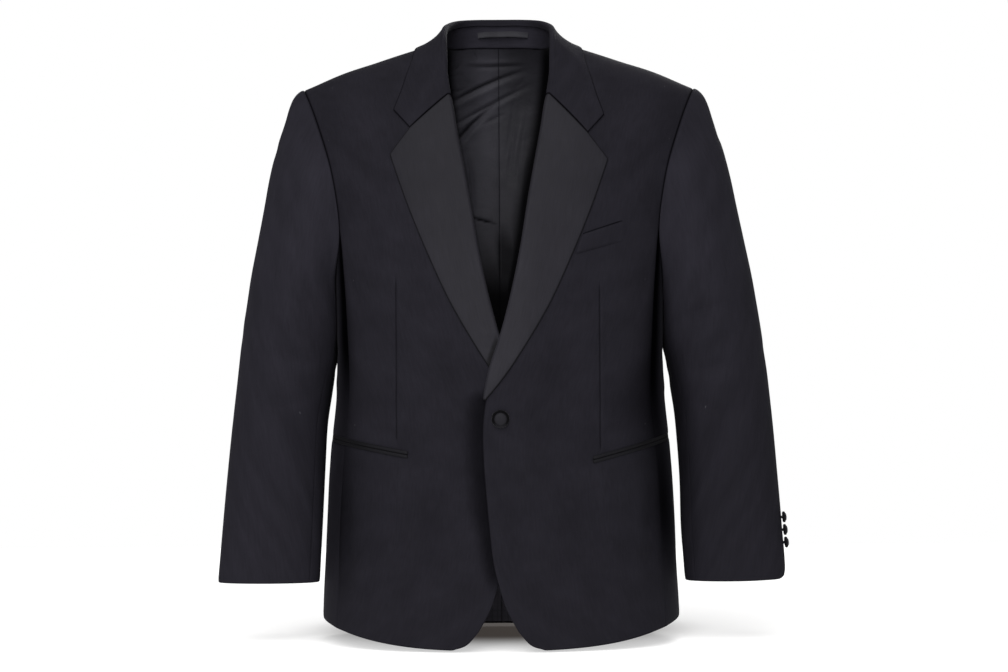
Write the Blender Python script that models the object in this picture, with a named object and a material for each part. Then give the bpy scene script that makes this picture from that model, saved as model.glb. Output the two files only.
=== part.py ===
"""A single-breasted dinner jacket with notch lapels, filled out on a general figure and open inside.

Frame: metres, +Z up, the front towards -Y and the wearer's left towards +X. The origin lies midway between
the neck ends of the two shoulder seams, where the wearer's shoulders hold the jacket.

Every piece is a thin wall worked out as a grid of points. The torso is one form, a rounded ring at each
height, and the panels are rectangles laid on it between seam lines. Each sleeve is a tube that leaves the
armhole curve. What lies on a panel is made from the panel's own points, moved out. Tables are in
millimetres, for the wearer's left half, and the other half is their mirror image.
"""
import math

import bmesh
import bpy
import numpy as np

MM = 0.001

# Cloth
CLOTH = 2.0 * MM
LINING = 1.2 * MM
SEAM_GAP = 0.3 * MM
WIDE_SEAM_GAP = 0.4 * MM
SEAT_GAP = 0.7 * MM

# Torso form: a ring with rounded corners at each height
RING_POWER = 2.4
CENTRE_Y = 4 * MM
TORSO_COLUMNS = ("height", "half_width", "front_depth", "back_depth")
TORSO = (
    (30, 262, 45, 116),
    (0, 262, 45, 112),
    (-20, 262, 54, 112),
    (-45, 262, 73, 114),
    (-75, 262, 94, 118),
    (-110, 256, 113, 122),
    (-160, 240, 128, 127),
    (-220, 222, 138, 129),
    (-300, 213, 142, 125),
    (-370, 209, 143, 117),
    (-440, 207, 145, 113),
    (-520, 215, 147, 118),
    (-600, 221, 149, 126),
    (-680, 224, 150, 132),
    (-760, 227, 151, 136),
)

# Shoulder ridge: height over the distance from the centre, and how far below it the form fills out
NECK_X = 74 * MM
NECK_CROWN = 27 * MM
RIDGE_SLOPE = 0.29
RIDGE_FALL = 0.33
FRONT_ARCH = (80 * MM, 2.5)
BACK_ARCH = (150 * MM, 3.0)

# Hem: height at the side seam line, and how much lower it hangs at the centre
HEM_SIDE_Z = -727 * MM
HEM_FRONT_DROP = 28 * MM
HEM_BACK_DROP = 22 * MM
HEM_POWER = 3

# The seams beside the underarm panels, as a share of the half width
SIDE_SEAM_HEM = 0.90
SEAM_SETTLE = 5

# Armhole: a closed curve through these points: name, x, y, z
ARMHOLE = (
    ("top", 247, 4, -60),
    ("front high", 229, -52, -100),
    ("front middle", 209, -70, -165),
    ("front low", 199, -69, -235),
    ("front under", 203.5, -50, -284),
    ("bottom", 213.5, 4, -300),
    ("back under", 205, 56, -285),
    ("back low", 202.5, 67, -235),
    ("back middle", 215, 71, -165),
    ("back high", 233, 58, -100),
)
FRONT_LOW = 3
BACK_LOW = 7
ARMHOLE_END = 10
ARMHOLE_CENTRE_Z = -181 * MM

# The front's inner edge, from its rounded corner up the front edge and the roll line to the neck: x, z
FRONT_EDGE = (
    (23.3, -732),
    (8.6, -705),
    (-1.1, -675),
    (-7.2, -651),
    (-13.2, -613),
    (-17.9, -564),
    (-20.6, -527),
    (-21.0, -477),
    (-16.5, -445),
    (-10.0, -414),
    (3.0, -375),
    (14.5, -333),
    (27.0, -277),
    (40.0, -200),
    (55.0, -119),
    (63.0, -75),
    (68.5, -58),
    (72.5, -36),
    (74.5, -17),
    (74.0, 0),
)
# The hem's first stretch, which rounds the same corner: x, z
CORNER_HEM = (
    (23.3, -732),
    (36.0, -746.5),
    (55.4, -754.5),
)

# How far the wearer's left front, which laps over, stands off the form near the centre: height, lift
LAP = ((-780, 2.9), (-650, 2.9), (-455, 7.8), (-350, 7.8), (-150, 0), (50, 0))
LAP_FULL_X = 24 * MM
LAP_END_X = 90 * MM

# Lapel: outer edge from the break to the tip, and the inner corner of the notch: x, z
LAPEL_EDGE = (
    (-12.0, -443),
    (11.6, -414),
    (33.5, -380),
    (59.5, -335),
    (87.5, -275),
    (114.0, -210),
    (134.0, -153),
)
NOTCH = (109, -120.5)
NOTCH_SHARE = 0.64
GORGE_Z = -75 * MM
BREAK_Z = -445 * MM
LEFT_DROP = 3.6 * MM
TURN_IN = (2.5 * MM, 6 * MM)
ROLL_EASE = 1.3 * MM

# Collar: neck seam, fold and outer edge, from the centre back round to the gorge
COLLAR_COLUMNS = ("neck_x", "neck_z", "fold_x", "fold_y", "fold_z", "edge_x", "edge_y", "edge_z")
COLLAR = (
    (0, 5, 0, 94, 36, 0, 104, -12),
    (28, 4.8, 30, 88, 35.2, 34, 97, -12),
    (50, 3.3, 53, 66, 31.5, 66, 80, -13),
    (66, 1.2, 65, 36, 24.5, 90, 50, -11.5),
    (74, 0, 69.5, 6, 16, 102, 6, -8.7),
    (74.5, -17, 70, -24, 1, 109.5, -38, -31),
    (72.5, -36, 69, -48, -21, 114.5, -60, -48),
    (68.5, -58, 67, -68, -47, 121.5, -82, -73),
    (63, -75, 63, -88.7, -75, 130, -100, -97.5),
)
COLLAR_PLACES = np.array((0, 0.08, 0.17, 0.26, 0.34, 0.42, 0.5, 0.57, 0.64, 0.72, 0.8, 0.87, 0.935, 1))
RIDGE_PLACE = 0.5
TURN_PLACE = 0.8
STAND_END = 0.75
STAND_GAP = 0.7 * MM
COLLAR_EASE = 0.3 * MM
COLLAR_SHARES = np.array((0.12, 0.3, 0.5, 0.68, 0.84, 1))
COLLAR_NOTCH_SHARE = 0.68
COLLAR_BEND = 7
COLLAR_TURN_IN = (6 * MM, 0.8 * MM)
WAIST_Z = -400 * MM

# Finding the form's surface near the shoulder ridge
ROOF_REACH = 14 * MM
ROOF_SEARCH = 70 * MM
ROOF_HALVINGS = 30

# Sleeve: rings from the shoulder to the cuff. Pull moves the front and back of a ring towards the body,
# and hug moves its inner corners
SLEEVE_COLUMNS = ("height", "outer", "inner", "half_depth", "centre_y", "pull", "hug")
SLEEVE = (
    (-55, 255, 188, 40, 4, 20, 0),
    (-68, 261, 189, 48, 4, 21, 0),
    (-84, 267, 190, 55, 4, 22, 0),
    (-100, 272, 191, 61, 4, 23, 0),
    (-130, 282.5, 192, 69, 4, 24, 0),
    (-175, 294, 194, 75, 4, 25, 0),
    (-206, 300, 197, 77, 4, 25, 0),
    (-251, 309, 204, 77, 5, 24, 3),
    (-300, 318, 215.5, 76, 6, 18, 8),
    (-330, 322.5, 216, 75, 7, 14, 11),
    (-373, 329, 215, 70, 8, 8, 11),
    (-400, 332.5, 215, 67, 8, 5, 7),
    (-430, 336, 216, 63, 6, 2, 2),
    (-480, 342.5, 221, 55, 3, 0, 0),
    (-556, 350, 226, 44, -6, 0, 0),
    (-617, 354.5, 229, 35, -15, 0, 0),
    (-681, 359, 231.5, 27, -27, 0, 0),
)
CUFF_Z = -681 * MM
HEAD_REACH = (8 * MM, 50 * MM)
ROPE_RISE = 2.5 * MM
ROPE_WIDTH = 5 * MM

# How finely each piece is divided
FRONT_STEPS = 7
SIDE_STEPS = 6
BACK_STEPS = 7
PANEL_CLIMB = np.array((0, 0.035, 0.08, 0.14, 0.22, 0.31, 0.4, 0.49, 0.58, 0.68, 0.79, 0.9, 1))
FRONT_COLUMNS = 12
BACK_COLUMNS = 8
SLEEVE_ROWS = np.array((0, 0.008, 0.02, 0.04, 0.07, 0.11, 0.17, 0.25, 0.34, 0.44, 0.55, 0.66, 0.77, 0.88, 1))
FOREARM_STEP = FRONT_STEPS + 1
HINDARM_STEP = FRONT_STEPS + SIDE_STEPS + 3
LAPEL_ROWS = 16
LAPEL_CROWDING = 0.35
LAPEL_BULGE = 0.9 * MM
END_CROWDING = 0.55
ARC_STEPS = 4

# Hip pockets: the ends of the opening, and the height of one jet
POCKET_INNER = (113, -521)
POCKET_OUTER_SHARE = 0.985
POCKET_OUTER_Z = -500 * MM
JET_HEIGHT = 4.3 * MM
JET_THICKNESS = 1.6 * MM
JET_STEPS = 9
JET_END_LIFT = 0.5 * MM

# Breast welt, on the wearer's left: its corners beside the lapel and towards the armhole: x, z
WELT_TOP = ((102.3, -248), (155, -230))
WELT_BOTTOM = ((91.2, -275.4), (155, -257.6))
WELT_THICKNESS = 1.6 * MM
WELT_STEPS = 5

# Hanger loop, on the inside of the collar stand
LOOP_CENTRE_X = 5 * MM
LOOP_HALF_LENGTH = 37 * MM
LOOP_BOTTOM_Z = 15 * MM
LOOP_TOP_Z = 22.5 * MM
LOOP_THICKNESS = 1.0 * MM
LOOP_BOW = 3 * MM
LOOP_STEPS = 8

# Buttons: the dome's profile in shares of its radius and height
BUTTON_PROFILE = ((0.88, 0), (1.0, 0.25), (0.96, 0.6), (0.78, 0.87), (0.42, 0.98))
BUTTON_SIDES = 16
BUTTON_GAP = 0.25 * MM
FRONT_BUTTON_Z = -473.5 * MM
FRONT_BUTTON_X = 0.5 * MM
FRONT_BUTTON_RADIUS = 11 * MM
FRONT_BUTTON_HEIGHT = 6 * MM
CUFF_BUTTON_RADIUS = 7 * MM
CUFF_BUTTON_HEIGHT = 4.5 * MM
CUFF_BUTTON_FIRST_Z = -603.5 * MM
CUFF_BUTTON_PITCH = 15.8 * MM
CUFF_BUTTON_TURN = {"left": -14, "right": -38}
CUFF_BUTTONS = 3

# Lining of the back
LINING_HEM_RISE = 14 * MM

# Finishes: colour, roughness
FINISHES = {
    "wool": ((0.0185, 0.0177, 0.0222, 1), 0.92),
    "satin": ((0.026, 0.025, 0.030, 1), 0.45),
    "lining": ((0.026, 0.025, 0.030, 1), 0.5),
    "button_cloth": ((0.017, 0.0165, 0.020, 1), 0.75),
}
SIDES = {"left": 1, "right": -1}


# Tables and curves

def curve_through(knots, values, at):
    """A smooth curve through a table: a cubic between each pair of knots, with slopes from its neighbours."""
    knots = np.asarray(knots, float)
    values = np.asarray(values, float)
    at = np.clip(np.asarray(at, float), knots[0], knots[-1])
    slopes = np.gradient(values, knots, axis=0)
    low = np.clip(np.searchsorted(knots, at) - 1, 0, len(knots) - 2)
    span = knots[low + 1] - knots[low]
    share = (at - knots[low]) / span
    if values.ndim > 1:
        span = span[..., None]
        share = share[..., None]
    start, end = values[low], values[low + 1]
    start_slope, end_slope = slopes[low] * span, slopes[low + 1] * span
    rest = 1 - share
    return (rest * rest * (1 + 2 * share) * start + share * share * (3 - 2 * share) * end
            + rest * rest * share * start_slope - share * share * rest * end_slope)


def read_column(table, columns, name, height):
    """One named column of a table of sections, at any height, in metres."""
    rows = sorted(table)
    column = columns.index(name)
    return curve_through([row[0] * MM for row in rows], [row[column] * MM for row in rows], height)


def smooth_step(share):
    share = np.clip(share, 0, 1)
    return share * share * (3 - 2 * share)


def line_by_height(points, height):
    """x along a line whose points climb in z."""
    points = np.array(points, float) * MM
    return curve_through(points[:, 1], points[:, 0], height)


# Torso form

def ridge_height(x):
    """The shoulder line: a crown inside the neck, and outside it a slope that steepens outwards."""
    reach = np.abs(x)
    past = np.maximum(reach - NECK_X, 0)
    inside = NECK_CROWN * np.maximum(1 - (reach / NECK_X) ** 2, 0)
    return inside - RIDGE_SLOPE * past - RIDGE_FALL * past * past


def half_width(z):
    return read_column(TORSO, TORSO_COLUMNS, "half_width", z)


def ring_share(x, z):
    """The depth of the ring at x, as a share of its depth at the centre."""
    across = np.clip(np.abs(x) / half_width(z), 0, 1)
    return (1 - across ** RING_POWER) ** (1 / RING_POWER)


def arch_share(x, z, arch):
    """How far the form has filled out below the shoulder ridge: a rounded step from 0 to 1."""
    reach, power = arch
    below = np.clip((ridge_height(x) - z) / reach, 0, 1)
    return (1 - (1 - below) ** power) ** (1 / power)


def front_y(x, z):
    depth = read_column(TORSO, TORSO_COLUMNS, "front_depth", z)
    return CENTRE_Y - depth * ring_share(x, z) * arch_share(x, z, FRONT_ARCH)


def back_y(x, z):
    depth = read_column(TORSO, TORSO_COLUMNS, "back_depth", z)
    return CENTRE_Y + depth * ring_share(x, z) * arch_share(x, z, BACK_ARCH)


def lap_lift(x, z):
    """How far the front that laps over stands off the form: most at the centre, none past the chest."""
    rows = np.array(LAP, float) * MM
    low = np.clip(np.searchsorted(rows[:, 0], z) - 1, 0, len(rows) - 2)
    climb = smooth_step((z - rows[low, 0]) / (rows[low + 1, 0] - rows[low, 0]))
    lift = rows[low, 1] + (rows[low + 1, 1] - rows[low, 1]) * climb
    return lift * (1 - smooth_step((x - LAP_FULL_X) / (LAP_END_X - LAP_FULL_X)))


def front_points(x, z, side):
    """Points of one front's outer face, for the wearer's left half before it is mirrored."""
    y = front_y(x, z)
    if side == "left":
        y = y - lap_lift(x, z)
    return np.stack((x, y, z), axis=-1)


def hem_height(share, drop):
    return HEM_SIDE_Z - drop * (1 - share ** HEM_POWER)


def armhole(step):
    """The armhole curve, closed, at any place along its table of points."""
    points = np.array([row[1:] for row in ARMHOLE], float) * MM
    wrap = 3
    knots = np.arange(-wrap, len(points) + wrap + 1)
    return curve_through(knots, points[knots % len(points)], step)


def armhole_steps():
    """The places along the armhole that every piece beside it shares: front, underarm and back."""
    front = np.linspace(0, FRONT_LOW, FRONT_STEPS + 1)
    under = np.linspace(FRONT_LOW, BACK_LOW, SIDE_STEPS + 1)
    back = np.linspace(BACK_LOW, ARMHOLE_END, BACK_STEPS + 1)
    return np.concatenate((front, under[1:], back[1:]))


def side_seam_share(climb, top):
    """The seam beside the underarm panel, as a share of the half width, from the hem to the armhole."""
    return SIDE_SEAM_HEM + (top[0] / half_width(top[2]) - SIDE_SEAM_HEM) * climb


def side_seam(top, drop):
    """The seam's x and z, row by row from the hem to its top on the armhole."""
    hem = hem_height(SIDE_SEAM_HEM, drop)
    z = hem + (top[2] - hem) * PANEL_CLIMB
    return np.stack((side_seam_share(PANEL_CLIMB, top) * half_width(z), z), axis=-1)


# Grids and walls

def between_edges(low, high, start, end):
    """A sheet of plane points between four edges: the edges' blends, less the blend of their corners."""
    across = np.linspace(0, 1, len(low))[None, :, None]
    up = edge_shares(start)[:, None, None]
    sheet = (1 - across) * start[:, None] + across * end[:, None] + (1 - up) * low[None] + up * high[None]
    corners = ((1 - across) * (1 - up) * low[0] + across * (1 - up) * low[-1]
               + (1 - across) * up * high[0] + across * up * high[-1])
    return sheet - corners


def edge_shares(edge):
    """How far up an edge each of its points lies, by height."""
    return (edge[:, 1] - edge[0, 1]) / (edge[-1, 1] - edge[0, 1])


def grid_normals(grid, inside):
    """Unit normals of a grid, turned away from the inside points."""
    normals = np.cross(np.gradient(grid, axis=0), np.gradient(grid, axis=1))
    normals /= np.linalg.norm(normals, axis=-1, keepdims=True)
    if np.mean(np.sum(normals * (grid - inside), axis=-1)) < 0:
        normals = -normals
    return normals


def inset(grid, gap):
    """The grid with each edge drawn in by half a seam gap."""
    grid = grid.copy()
    for edge, inner in ((0, 1), (-1, -2)):
        for swapped in (grid, grid.swapaxes(0, 1)):
            pull = swapped[inner] - swapped[edge]
            swapped[edge] += pull / np.linalg.norm(pull, axis=-1, keepdims=True) * gap / 2
    return grid


def wall_mesh(name, outer, inner):
    """A closed wall between two grids of the same size, joined round their rims."""
    rows, columns = outer.shape[:2]
    count = rows * columns
    points = np.concatenate((outer.reshape(-1, 3), inner.reshape(-1, 3)))
    index = np.arange(count).reshape(rows, columns)
    quads = np.stack((index[:-1, :-1], index[:-1, 1:], index[1:, 1:], index[1:, :-1]), axis=-1).reshape(-1, 4)
    rim = np.concatenate((index[0], index[1:, -1], index[-1, -2::-1], index[-2:0:-1, 0]))
    after = np.roll(rim, -1)
    sides = np.stack((after, rim, rim + count, after + count), axis=-1)
    faces = np.concatenate((quads, quads[:, [0, 3, 2, 1]] + count, sides))
    mesh = bpy.data.meshes.new(name)
    mesh.from_pydata(points.tolist(), [], faces.tolist())
    point_faces_out(mesh)
    return mesh


def point_faces_out(mesh):
    shape = bmesh.new()
    shape.from_mesh(mesh)
    bmesh.ops.recalc_face_normals(shape, faces=shape.faces[:])
    shape.to_mesh(mesh)
    shape.free()
    mesh.update()


def mirrored(grid, side):
    """The grid on the named half: the wearer's left is as worked out, the right is its mirror image."""
    return grid * np.array((SIDES[side], 1, 1))


def add_piece(name, mesh, finish):
    mesh.shade_smooth()
    mesh.set_sharp_from_angle(angle=math.radians(40))
    mesh.materials.append(bpy.data.materials[finish])
    piece = bpy.data.objects.new(name, mesh)
    bpy.context.collection.objects.link(piece)
    return piece


def add_wall(name, grid, normals, side, finish, thickness=CLOTH):
    """A wall whose outer face is the grid, thickened inwards along the normals."""
    outer = mirrored(grid, side)
    inner = mirrored(grid - normals * thickness, side)
    return add_piece(name, wall_mesh(name, outer, inner), finish)


def torso_axis(grid):
    """Points on the torso's upright axis, at the height of each point of the grid."""
    axis = np.zeros_like(grid)
    axis[..., 1] = CENTRE_Y
    axis[..., 2] = grid[..., 2]
    return axis


def ridge_normals(x):
    """Normals across the shoulder seam, which both its panels share."""
    slope = np.where(np.abs(x) > NECK_X, -RIDGE_SLOPE - 2 * RIDGE_FALL * (np.abs(x) - NECK_X), 0)
    normals = np.stack((-slope, np.zeros_like(x), np.ones_like(x)), axis=-1)
    return normals / np.linalg.norm(normals, axis=-1, keepdims=True)


# Panels of the body

def crowd_outwards(count):
    """Shares from 0 to 1 that lie closer together towards 1, where the form turns to the side."""
    share = np.linspace(0, 1, count)
    return share * (1.45 - 0.45 * share)


def crowd_both_ends(count):
    """Shares from 0 to 1 that lie closer together at both ends, at the rounded corner and at the side."""
    share = np.linspace(0, 1, count)
    return share - END_CROWDING * np.sin(2 * math.pi * share) / (2 * math.pi)


def front_grid(side):
    """One front: its rows climb from the hem to the shoulder seam, and share the armhole's places."""
    seam = side_seam(armhole(np.array(float(FRONT_LOW))), HEM_FRONT_DROP)
    hem_x = seam[0, 0]
    arm = armhole(np.linspace(FRONT_LOW, 0, FRONT_STEPS + 1))
    end = np.concatenate((seam, arm[1:, [0, 2]]))
    edge = np.array(FRONT_EDGE, float) * MM
    start_z = edge[0, 1] + edge_shares(end) * (edge[-1, 1] - edge[0, 1])
    start = np.stack((line_by_height(FRONT_EDGE, start_z), start_z), axis=-1)

    across = crowd_both_ends(FRONT_COLUMNS + 1)
    corner = np.array(CORNER_HEM, float) * MM
    low_x = corner[0, 0] + across * (hem_x - corner[0, 0])
    round_z = curve_through(corner[:, 0], corner[:, 1], low_x)
    plain_z = hem_height(low_x / half_width(HEM_SIDE_Z), HEM_FRONT_DROP)
    low = np.stack((low_x, np.where(low_x < corner[-1, 0], round_z, plain_z)), axis=-1)
    high_x = NECK_X + across * (end[-1, 0] - NECK_X)
    high = np.stack((high_x, ridge_height(high_x)), axis=-1)
    start[-1] = high[0]
    end[-1] = high[-1]

    plane = between_edges(low, high, start, end)
    grid = front_points(plane[..., 0], plane[..., 1], side)
    grid[-1, :, 1] = CENTRE_Y
    seat_on_armhole(grid, arm)
    return grid


def seat_on_armhole(grid, arm):
    """Moves the outer ends of the rows onto the armhole, less towards the centre and down the side seam."""
    shift = arm[:, 1] - grid[-len(arm):, -1, 1]
    shift = np.concatenate((shift[0] * PANEL_CLIMB[:-1] ** SEAM_SETTLE, shift))
    weight = np.linspace(0, 1, grid.shape[1]) ** 3
    grid[..., 1] += shift[:, None] * weight[None, :]


def ring_normals(points):
    """Level normals of the ring form, which the panels on both sides of a side seam share."""
    x, y, z = points[..., 0], points[..., 1] - CENTRE_Y, points[..., 2]
    front = read_column(TORSO, TORSO_COLUMNS, "front_depth", z)
    back = read_column(TORSO, TORSO_COLUMNS, "back_depth", z)
    depth = np.where(y < 0, front, back)
    width = half_width(z)
    across = np.sign(x) * (np.abs(x) / width) ** (RING_POWER - 1) / width
    through = np.sign(y) * (np.abs(y) / depth) ** (RING_POWER - 1) / depth
    return unit(np.stack((across, through, np.zeros_like(x)), axis=-1))


def back_grid():
    """Half of the back: rows from the hem to the neck and the shoulder seam."""
    seam = side_seam(armhole(np.array(float(BACK_LOW))), HEM_BACK_DROP)
    hem_x = seam[0, 0]
    arm = armhole(np.linspace(BACK_LOW, ARMHOLE_END, BACK_STEPS + 1))
    end = np.concatenate((seam, arm[1:, [0, 2]]))
    across = np.concatenate((np.linspace(0, 0.3, 5)[:-1], 0.3 + 0.7 * crowd_outwards(BACK_COLUMNS - 3)))
    low_x = across * hem_x
    low = np.stack((low_x, hem_height(low_x / half_width(HEM_SIDE_Z), HEM_BACK_DROP)), axis=-1)
    high_x = across * end[-1, 0]
    neck = np.array([row[:2] for row in COLLAR[:5]], float) * MM
    neck_z = curve_through(neck[:, 0], neck[:, 1], high_x)
    high = np.stack((high_x, np.where(high_x < NECK_X, neck_z, ridge_height(high_x))), axis=-1)
    end[-1] = high[-1]
    start_z = low[0, 1] + edge_shares(end) * (high[0, 1] - low[0, 1])
    start = np.stack((np.zeros_like(start_z), start_z), axis=-1)
    plane = between_edges(low, high, start, end)
    grid = np.stack((plane[..., 0], back_y(plane[..., 0], plane[..., 1]), plane[..., 1]), axis=-1)
    grid[-1, high_x >= NECK_X, 1] = CENTRE_Y
    seat_on_armhole(grid, arm)
    return grid


def ring_points(turn, z):
    """Points of the form round the side: turn is 0 at the side, negative in front and positive behind."""
    across = np.cos(turn) ** (2 / RING_POWER)
    depth = np.abs(np.sin(turn)) ** (2 / RING_POWER)
    front = -read_column(TORSO, TORSO_COLUMNS, "front_depth", z)
    back = read_column(TORSO, TORSO_COLUMNS, "back_depth", z)
    y = CENTRE_Y + np.where(turn < 0, front, back) * depth
    return np.stack((across * half_width(z), y, z + 0 * turn), axis=-1)


def turn_of_share(share):
    """The turn round the ring at which x is this share of the half width."""
    return np.arccos(share ** (RING_POWER / 2))


def side_grid():
    """The underarm panel, from the front seam round the side to the back seam."""
    arm = armhole(np.linspace(FRONT_LOW, BACK_LOW, SIDE_STEPS + 1))
    across = np.linspace(-1, 1, SIDE_STEPS + 1)
    hem_share = np.cos(across * turn_of_share(SIDE_SEAM_HEM)) ** (2 / RING_POWER)
    hem_z = hem_height(hem_share, np.where(across < 0, HEM_FRONT_DROP, HEM_BACK_DROP))
    climb = PANEL_CLIMB[:, None]
    z = hem_z[None, :] + climb * (arm[None, :, 2] - hem_z[None, :])
    front_turn = turn_of_share(side_seam_share(climb, arm[0]))
    back_turn = turn_of_share(side_seam_share(climb, arm[-1]))
    grid = ring_points(across[None, :] * np.where(across[None, :] < 0, front_turn, back_turn), z)
    grid += (arm - grid[-1])[None, :, :] * (climb[..., None] ** SEAM_SETTLE)
    return grid


def build_fronts():
    for side in SIDES:
        grid = front_grid(side)
        normals = grid_normals(grid, torso_axis(grid))
        normals[-1] = ridge_normals(grid[-1, :, 0])
        seam = slice(0, len(PANEL_CLIMB))
        normals[seam, -1] = ring_normals(grid[seam, -1])
        add_wall("front_" + side, inset(grid, SEAM_GAP), normals, side, "wool")


def back_normals(grid):
    normals = grid_normals(grid, torso_axis(grid))
    shoulder = grid[-1, :, 0] >= NECK_X
    normals[-1, shoulder] = ridge_normals(grid[-1, shoulder, 0])
    normals[:, 0, 0] = 0
    normals = unit(normals)
    seam = slice(0, len(PANEL_CLIMB))
    normals[seam, -1] = ring_normals(grid[seam, -1])
    return normals


def build_backs():
    grid = back_grid()
    normals = back_normals(grid)
    for side in SIDES:
        add_wall("back_" + side, inset(grid, SEAM_GAP), normals, side, "wool")


def build_sides():
    grid = side_grid()
    normals = grid_normals(grid, torso_axis(grid))
    for seam in (0, -1):
        normals[:, seam] = ring_normals(grid[:, seam])
    for side in SIDES:
        add_wall("side_" + side, inset(grid, SEAM_GAP), normals, side, "wool")


# Sleeves

def sleeve_points(turn, z):
    """The sleeve's tube: turn is 0 outwards, a quarter turn in front and a half turn against the body."""
    column = {name: read_column(SLEEVE, SLEEVE_COLUMNS, name, z) for name in SLEEVE_COLUMNS[1:]}
    middle = (column["outer"] + column["inner"]) / 2
    reach = (column["outer"] - column["inner"]) / 2
    corner = 2 * np.maximum(-np.cos(turn), 0) * np.abs(np.sin(turn))
    x = middle + reach * np.cos(turn) - column["pull"] * np.sin(turn) ** 2 - column["hug"] * corner
    y = column["centre_y"] - column["half_depth"] * np.sin(turn)
    return np.stack((x, y, z), axis=-1)


def sleeve_grid():
    """The whole sleeve: each column leaves its place on the armhole and settles onto the tube."""
    arm = armhole(armhole_steps())
    arm[:, 0] += SEAM_GAP
    turn = np.arctan2(CENTRE_Y - arm[:, 1], arm[:, 2] - ARMHOLE_CENTRE_Z)
    turn = np.unwrap(turn)
    turn[-1] = 2 * math.pi
    rows = SLEEVE_ROWS[:, None]
    z = arm[None, :, 2] + (CUFF_Z - arm[None, :, 2]) * rows
    tube = sleeve_points(np.broadcast_to(turn[None, :], z.shape), z)
    start = sleeve_points(turn, arm[:, 2])
    below = arm[None, :, 2] - z
    reach = HEAD_REACH[0] + HEAD_REACH[1] * np.abs(np.sin(turn / 2)) ** 1.2
    settle = np.exp(-(below / reach[None, :]) ** 1.5)
    grid = tube + (arm - start)[None, :, :] * settle[..., None]
    rise = below / ROPE_WIDTH * np.exp(1 - below / ROPE_WIDTH)
    crown = np.maximum(np.cos(turn), 0)[None, :]
    grid[..., 2] += ROPE_RISE * rise * crown
    return grid


def build_sleeves():
    """The top sleeve runs over the outside from the hindarm seam to the forearm seam."""
    grid = sleeve_grid()[:, :-1]
    axis = grid.mean(axis=1, keepdims=True)
    columns = grid.shape[1]
    closed = np.concatenate((grid, grid[:, :1]), axis=1)
    padded = np.concatenate((grid[:, -1:], closed, grid[:, 1:2]), axis=1)
    normals = grid_normals(padded, axis)[:, 1:-1]
    under = np.arange(FOREARM_STEP, HINDARM_STEP + 1)
    top = np.arange(HINDARM_STEP, columns + FOREARM_STEP + 1) % columns
    for side in SIDES:
        for name, chosen in (("sleeve_top_", top), ("sleeve_under_", under)):
            add_wall(name + side, inset(closed[:, chosen], WIDE_SEAM_GAP), normals[:, chosen], side, "wool")


# Lapels and collar

def turned_edge(edge, along, out, base, stand_off, steps, turn_in):
    """The visible face of cloth turned round the edge of a wall: in along its inner face, then round.

    The arc's centre is in the middle of the wall's thickness, so the cloth clears both faces alike.
    """
    radius = base / 2 + stand_off
    centre = edge - out * base / 2
    rows = []
    for share in (1.0, 0.5):
        rows.append(centre - out * radius + along * turn_in * share)
    for angle in np.linspace(-math.pi / 2, math.pi / 2, steps + 1):
        rows.append(centre + out * radius * math.sin(angle) - along * radius * math.cos(angle))
    return rows


def unit(vectors):
    return vectors / np.linalg.norm(vectors, axis=-1, keepdims=True)


def form_normals(x, z, side):
    """Outward normals of one front's outer face, from small steps sideways and upwards."""
    step = 1 * MM
    ahead = front_points(x + step, z, side) - front_points(x - step, z, side)
    above = front_points(x, z + step, side) - front_points(x, z - step, side)
    return unit(np.cross(ahead, above))


def feature_drop(side):
    """The wearer's left front sits a little lower than the right."""
    return LEFT_DROP * SIDES[side]


def bent_row(start, corner, end, shares, corner_share):
    """Shares along a row that bends at a corner, less the straight row: what bends the row."""
    first = np.minimum(shares / corner_share, 1)[:, None]
    second = np.maximum((shares - corner_share) / (1 - corner_share), 0)[:, None]
    straight = start + (end - start) * shares[:, None]
    return start + (corner - start) * first + (end - corner) * second - straight


def roll_line(z, side):
    """Points of the roll line, which is the front's own inner edge."""
    return front_points(line_by_height(FRONT_EDGE, z), z, side)


def roll_frame(z, side):
    """The roll line with, at each height, the directions out of the front and across it."""
    step = 1 * MM
    climb = unit(roll_line(z + step, side) - roll_line(z - step, side))
    out = form_normals(line_by_height(FRONT_EDGE, z), z, side)
    out = unit(out - climb * np.sum(out * climb, axis=-1, keepdims=True))
    return roll_line(z, side), out, np.cross(climb, out)


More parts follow.
